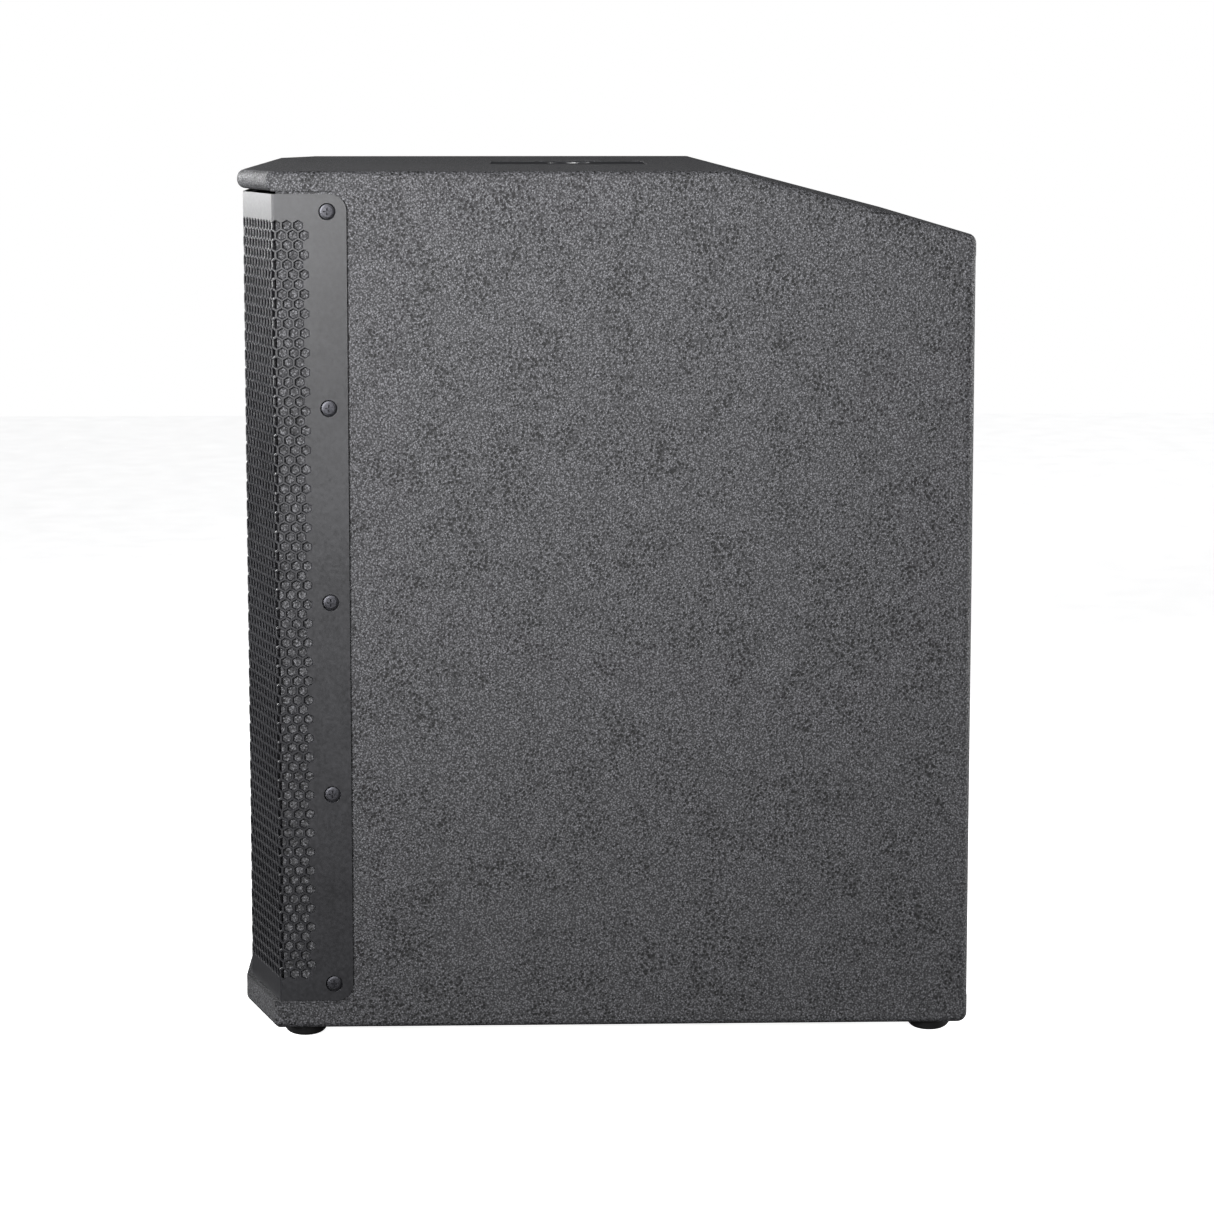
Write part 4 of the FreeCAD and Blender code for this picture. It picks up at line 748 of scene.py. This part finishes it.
def waddingPad(side, z0, z1, settings):
    y0, y1 = settings["low"][0], settings["high"][0]
    thickness = settings["thickness"]
    bm = bmesh.new()
    bmesh.ops.create_cube(bm, size=1.0)
    bmesh.ops.scale(bm, vec=(thickness, y1 - y0, z1 - z0), verts=bm.verts[:])
    bmesh.ops.subdivide_edges(bm, edges=bm.edges[:], cuts=settings["cuts"], use_grid_fill=True)
    centre = Vector((settings["wallX"] - thickness / 2, (y0 + y1) / 2, (z0 + z1) / 2))
    for vert in bm.verts:
        across = abs(vert.co.y) / ((y1 - y0) / 2)
        along = abs(vert.co.z) / ((z1 - z0) / 2)
        crown = (1 - across ** 4) * (1 - along ** 4)
        room = 0.5 - vert.co.x / thickness
        sag = settings["slack"] * (0.5 + 0.5 * noise.noise((vert.co + centre) / settings["foldLength"]))
        offCentre = (across - 0.5) ** 2 + (along - 0.5) ** 2
        tuft = settings["dimple"] * math.exp(-offCentre / settings["tuftSpread"])
        vert.co.x += room * ((1 - crown) * thickness * settings["edgePinch"] + sag * crown + tuft)
    bmesh.ops.smooth_vert(bm, verts=bm.verts[:], factor=settings["relax"], use_axis_x=True,
                          use_axis_y=True, use_axis_z=True)
    bmesh.ops.translate(bm, vec=centre, verts=bm.verts[:])
    if side < 0:
        mirrorAcross(bm)
    for face in bm.faces:
        face.smooth = True
    return bm


for sideName, side in (("right", 1), ("left", -1)):
    for levelName, z0, z1 in (("lower", waddingSettings["low"][1], waddingSettings["split"][0]),
                              ("upper", waddingSettings["split"][1], waddingSettings["high"][1])):
        pad = addPiece("wadding_" + sideName + "_" + levelName,
                       waddingPad(side, z0, z1, waddingSettings), "damping_wool", ["damping_pads"])
print("foam and wadding made")


# Marks printed on the amplifier's plate: a scale round each knob and a frame round the sockets

printSettings = {
    "lift": 0.12 * mm,          # how proud of the plate the ink stands
    "ticks": 11, "sweep": 270,  # marks in a knob's scale, over this many degrees
    "clear": 3.0 * mm, "tickLength": 3.0 * mm, "tickWidth": 0.6 * mm,
    "frameWidth": 0.7 * mm, "frameClear": 6.0 * mm,
}


def addBar(bm, centre, size, turn=0.0, pivot=(0, 0, 0)):
    verts = bmesh.ops.create_cube(bm, size=1.0)["verts"]
    bmesh.ops.scale(bm, vec=size, verts=verts)
    bmesh.ops.translate(bm, vec=centre, verts=verts)
    bmesh.ops.rotate(bm, cent=pivot, matrix=Matrix.Rotation(turn, 3, "Y"), verts=verts)


def printScale(bm, knob, face, settings):
    low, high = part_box(knob)
    centre = Vector(((low.x + high.x) / 2, face, (low.z + high.z) / 2))
    reach = (high.x - low.x) / 2 + settings["clear"] + settings["tickLength"] / 2
    for index in range(settings["ticks"]):
        turn = math.radians(settings["sweep"] * (index / (settings["ticks"] - 1) - 0.5))
        addBar(bm, centre + Vector((0, 0, reach)),
               (settings["tickWidth"], 2 * settings["lift"], settings["tickLength"]), turn, centre)


def printFrame(bm, nodes, face, settings):
    boxes = [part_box(node) for node in nodes]
    clear, width, lift = settings["frameClear"], settings["frameWidth"], 2 * settings["lift"]
    x0 = min(low.x for low, high in boxes) - clear
    x1 = max(high.x for low, high in boxes) + clear
    z0 = min(low.z for low, high in boxes) - clear
    z1 = max(high.z for low, high in boxes) + clear
    for z in (z0, z1):
        addBar(bm, ((x0 + x1) / 2, face, z), (x1 - x0 + width, lift, width))
    for x in (x0, x1):
        addBar(bm, (x, face, (z0 + z1) / 2), (width, lift, z1 - z0 - width))


def panelPrint(settings):
    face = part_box("amp_plate")[1].y
    bm = bmesh.new()
    for knob in ("level_knob", "crossover_knob"):
        printScale(bm, knob, face, settings)
    printFrame(bm, ("input_sockets", "link_sockets"), face, settings)
    return bm


addPiece("amp_panel_print", panelPrint(printSettings), "panel_ink")
print("amplifier plate printed")


# Floor

# Rolled white paper, matt and even. Like the walls it looks brighter than the light it gives back,
# as paper does that is lit by lamps of its own.
floorSettings = {"size": 9.0, "tone": "#f6f6f6", "bounce": "#505050", "grainMm": 60.0, "glow": 0.95}


def makePaper(settings):
    material, tree, place = startMaterial("paperSweep")
    fibres = addNode(tree, "ShaderNodeTexNoise", {"Scale": perMetre(settings["grainMm"]),
                                                  "Detail": 4.0}, {"Vector": place})
    ramp = addNode(tree, "ShaderNodeValToRGB", {}, {"Fac": fibres.outputs["Fac"]})
    setStops(ramp, [(0.2, settings["tone"]), (0.8, "#ffffff")])
    lit = addNode(tree, "ShaderNodeBsdfDiffuse", {}, {"Color": ramp.outputs["Color"]})
    glow = addNode(tree, "ShaderNodeEmission", {"Strength": settings["glow"]},
                   {"Color": ramp.outputs["Color"]})
    seen = addNode(tree, "ShaderNodeAddShader", {}, {0: lit.outputs[0], 1: glow.outputs[0]})
    bounce = addNode(tree, "ShaderNodeBsdfDiffuse", {"Color": linear(settings["bounce"])})
    rays = addNode(tree, "ShaderNodeLightPath")
    mix = addNode(tree, "ShaderNodeMixShader", {}, {0: rays.outputs["Is Camera Ray"],
                                                   1: bounce.outputs[0], 2: seen.outputs[0]})
    addNode(tree, "ShaderNodeOutputMaterial", {}, {"Surface": mix.outputs[0]})
    return material


def addFloor(settings):
    bm = bmesh.new()
    bmesh.ops.create_grid(bm, x_segments=1, y_segments=1, size=settings["size"] / 2)
    mesh = bpy.data.meshes.new("floor")
    bm.to_mesh(mesh)
    bm.free()
    floor = bpy.data.objects.new("floor", mesh)
    bpy.context.scene.collection.objects.link(floor)
    mesh.materials.append(makePaper(settings))


addFloor(floorSettings)
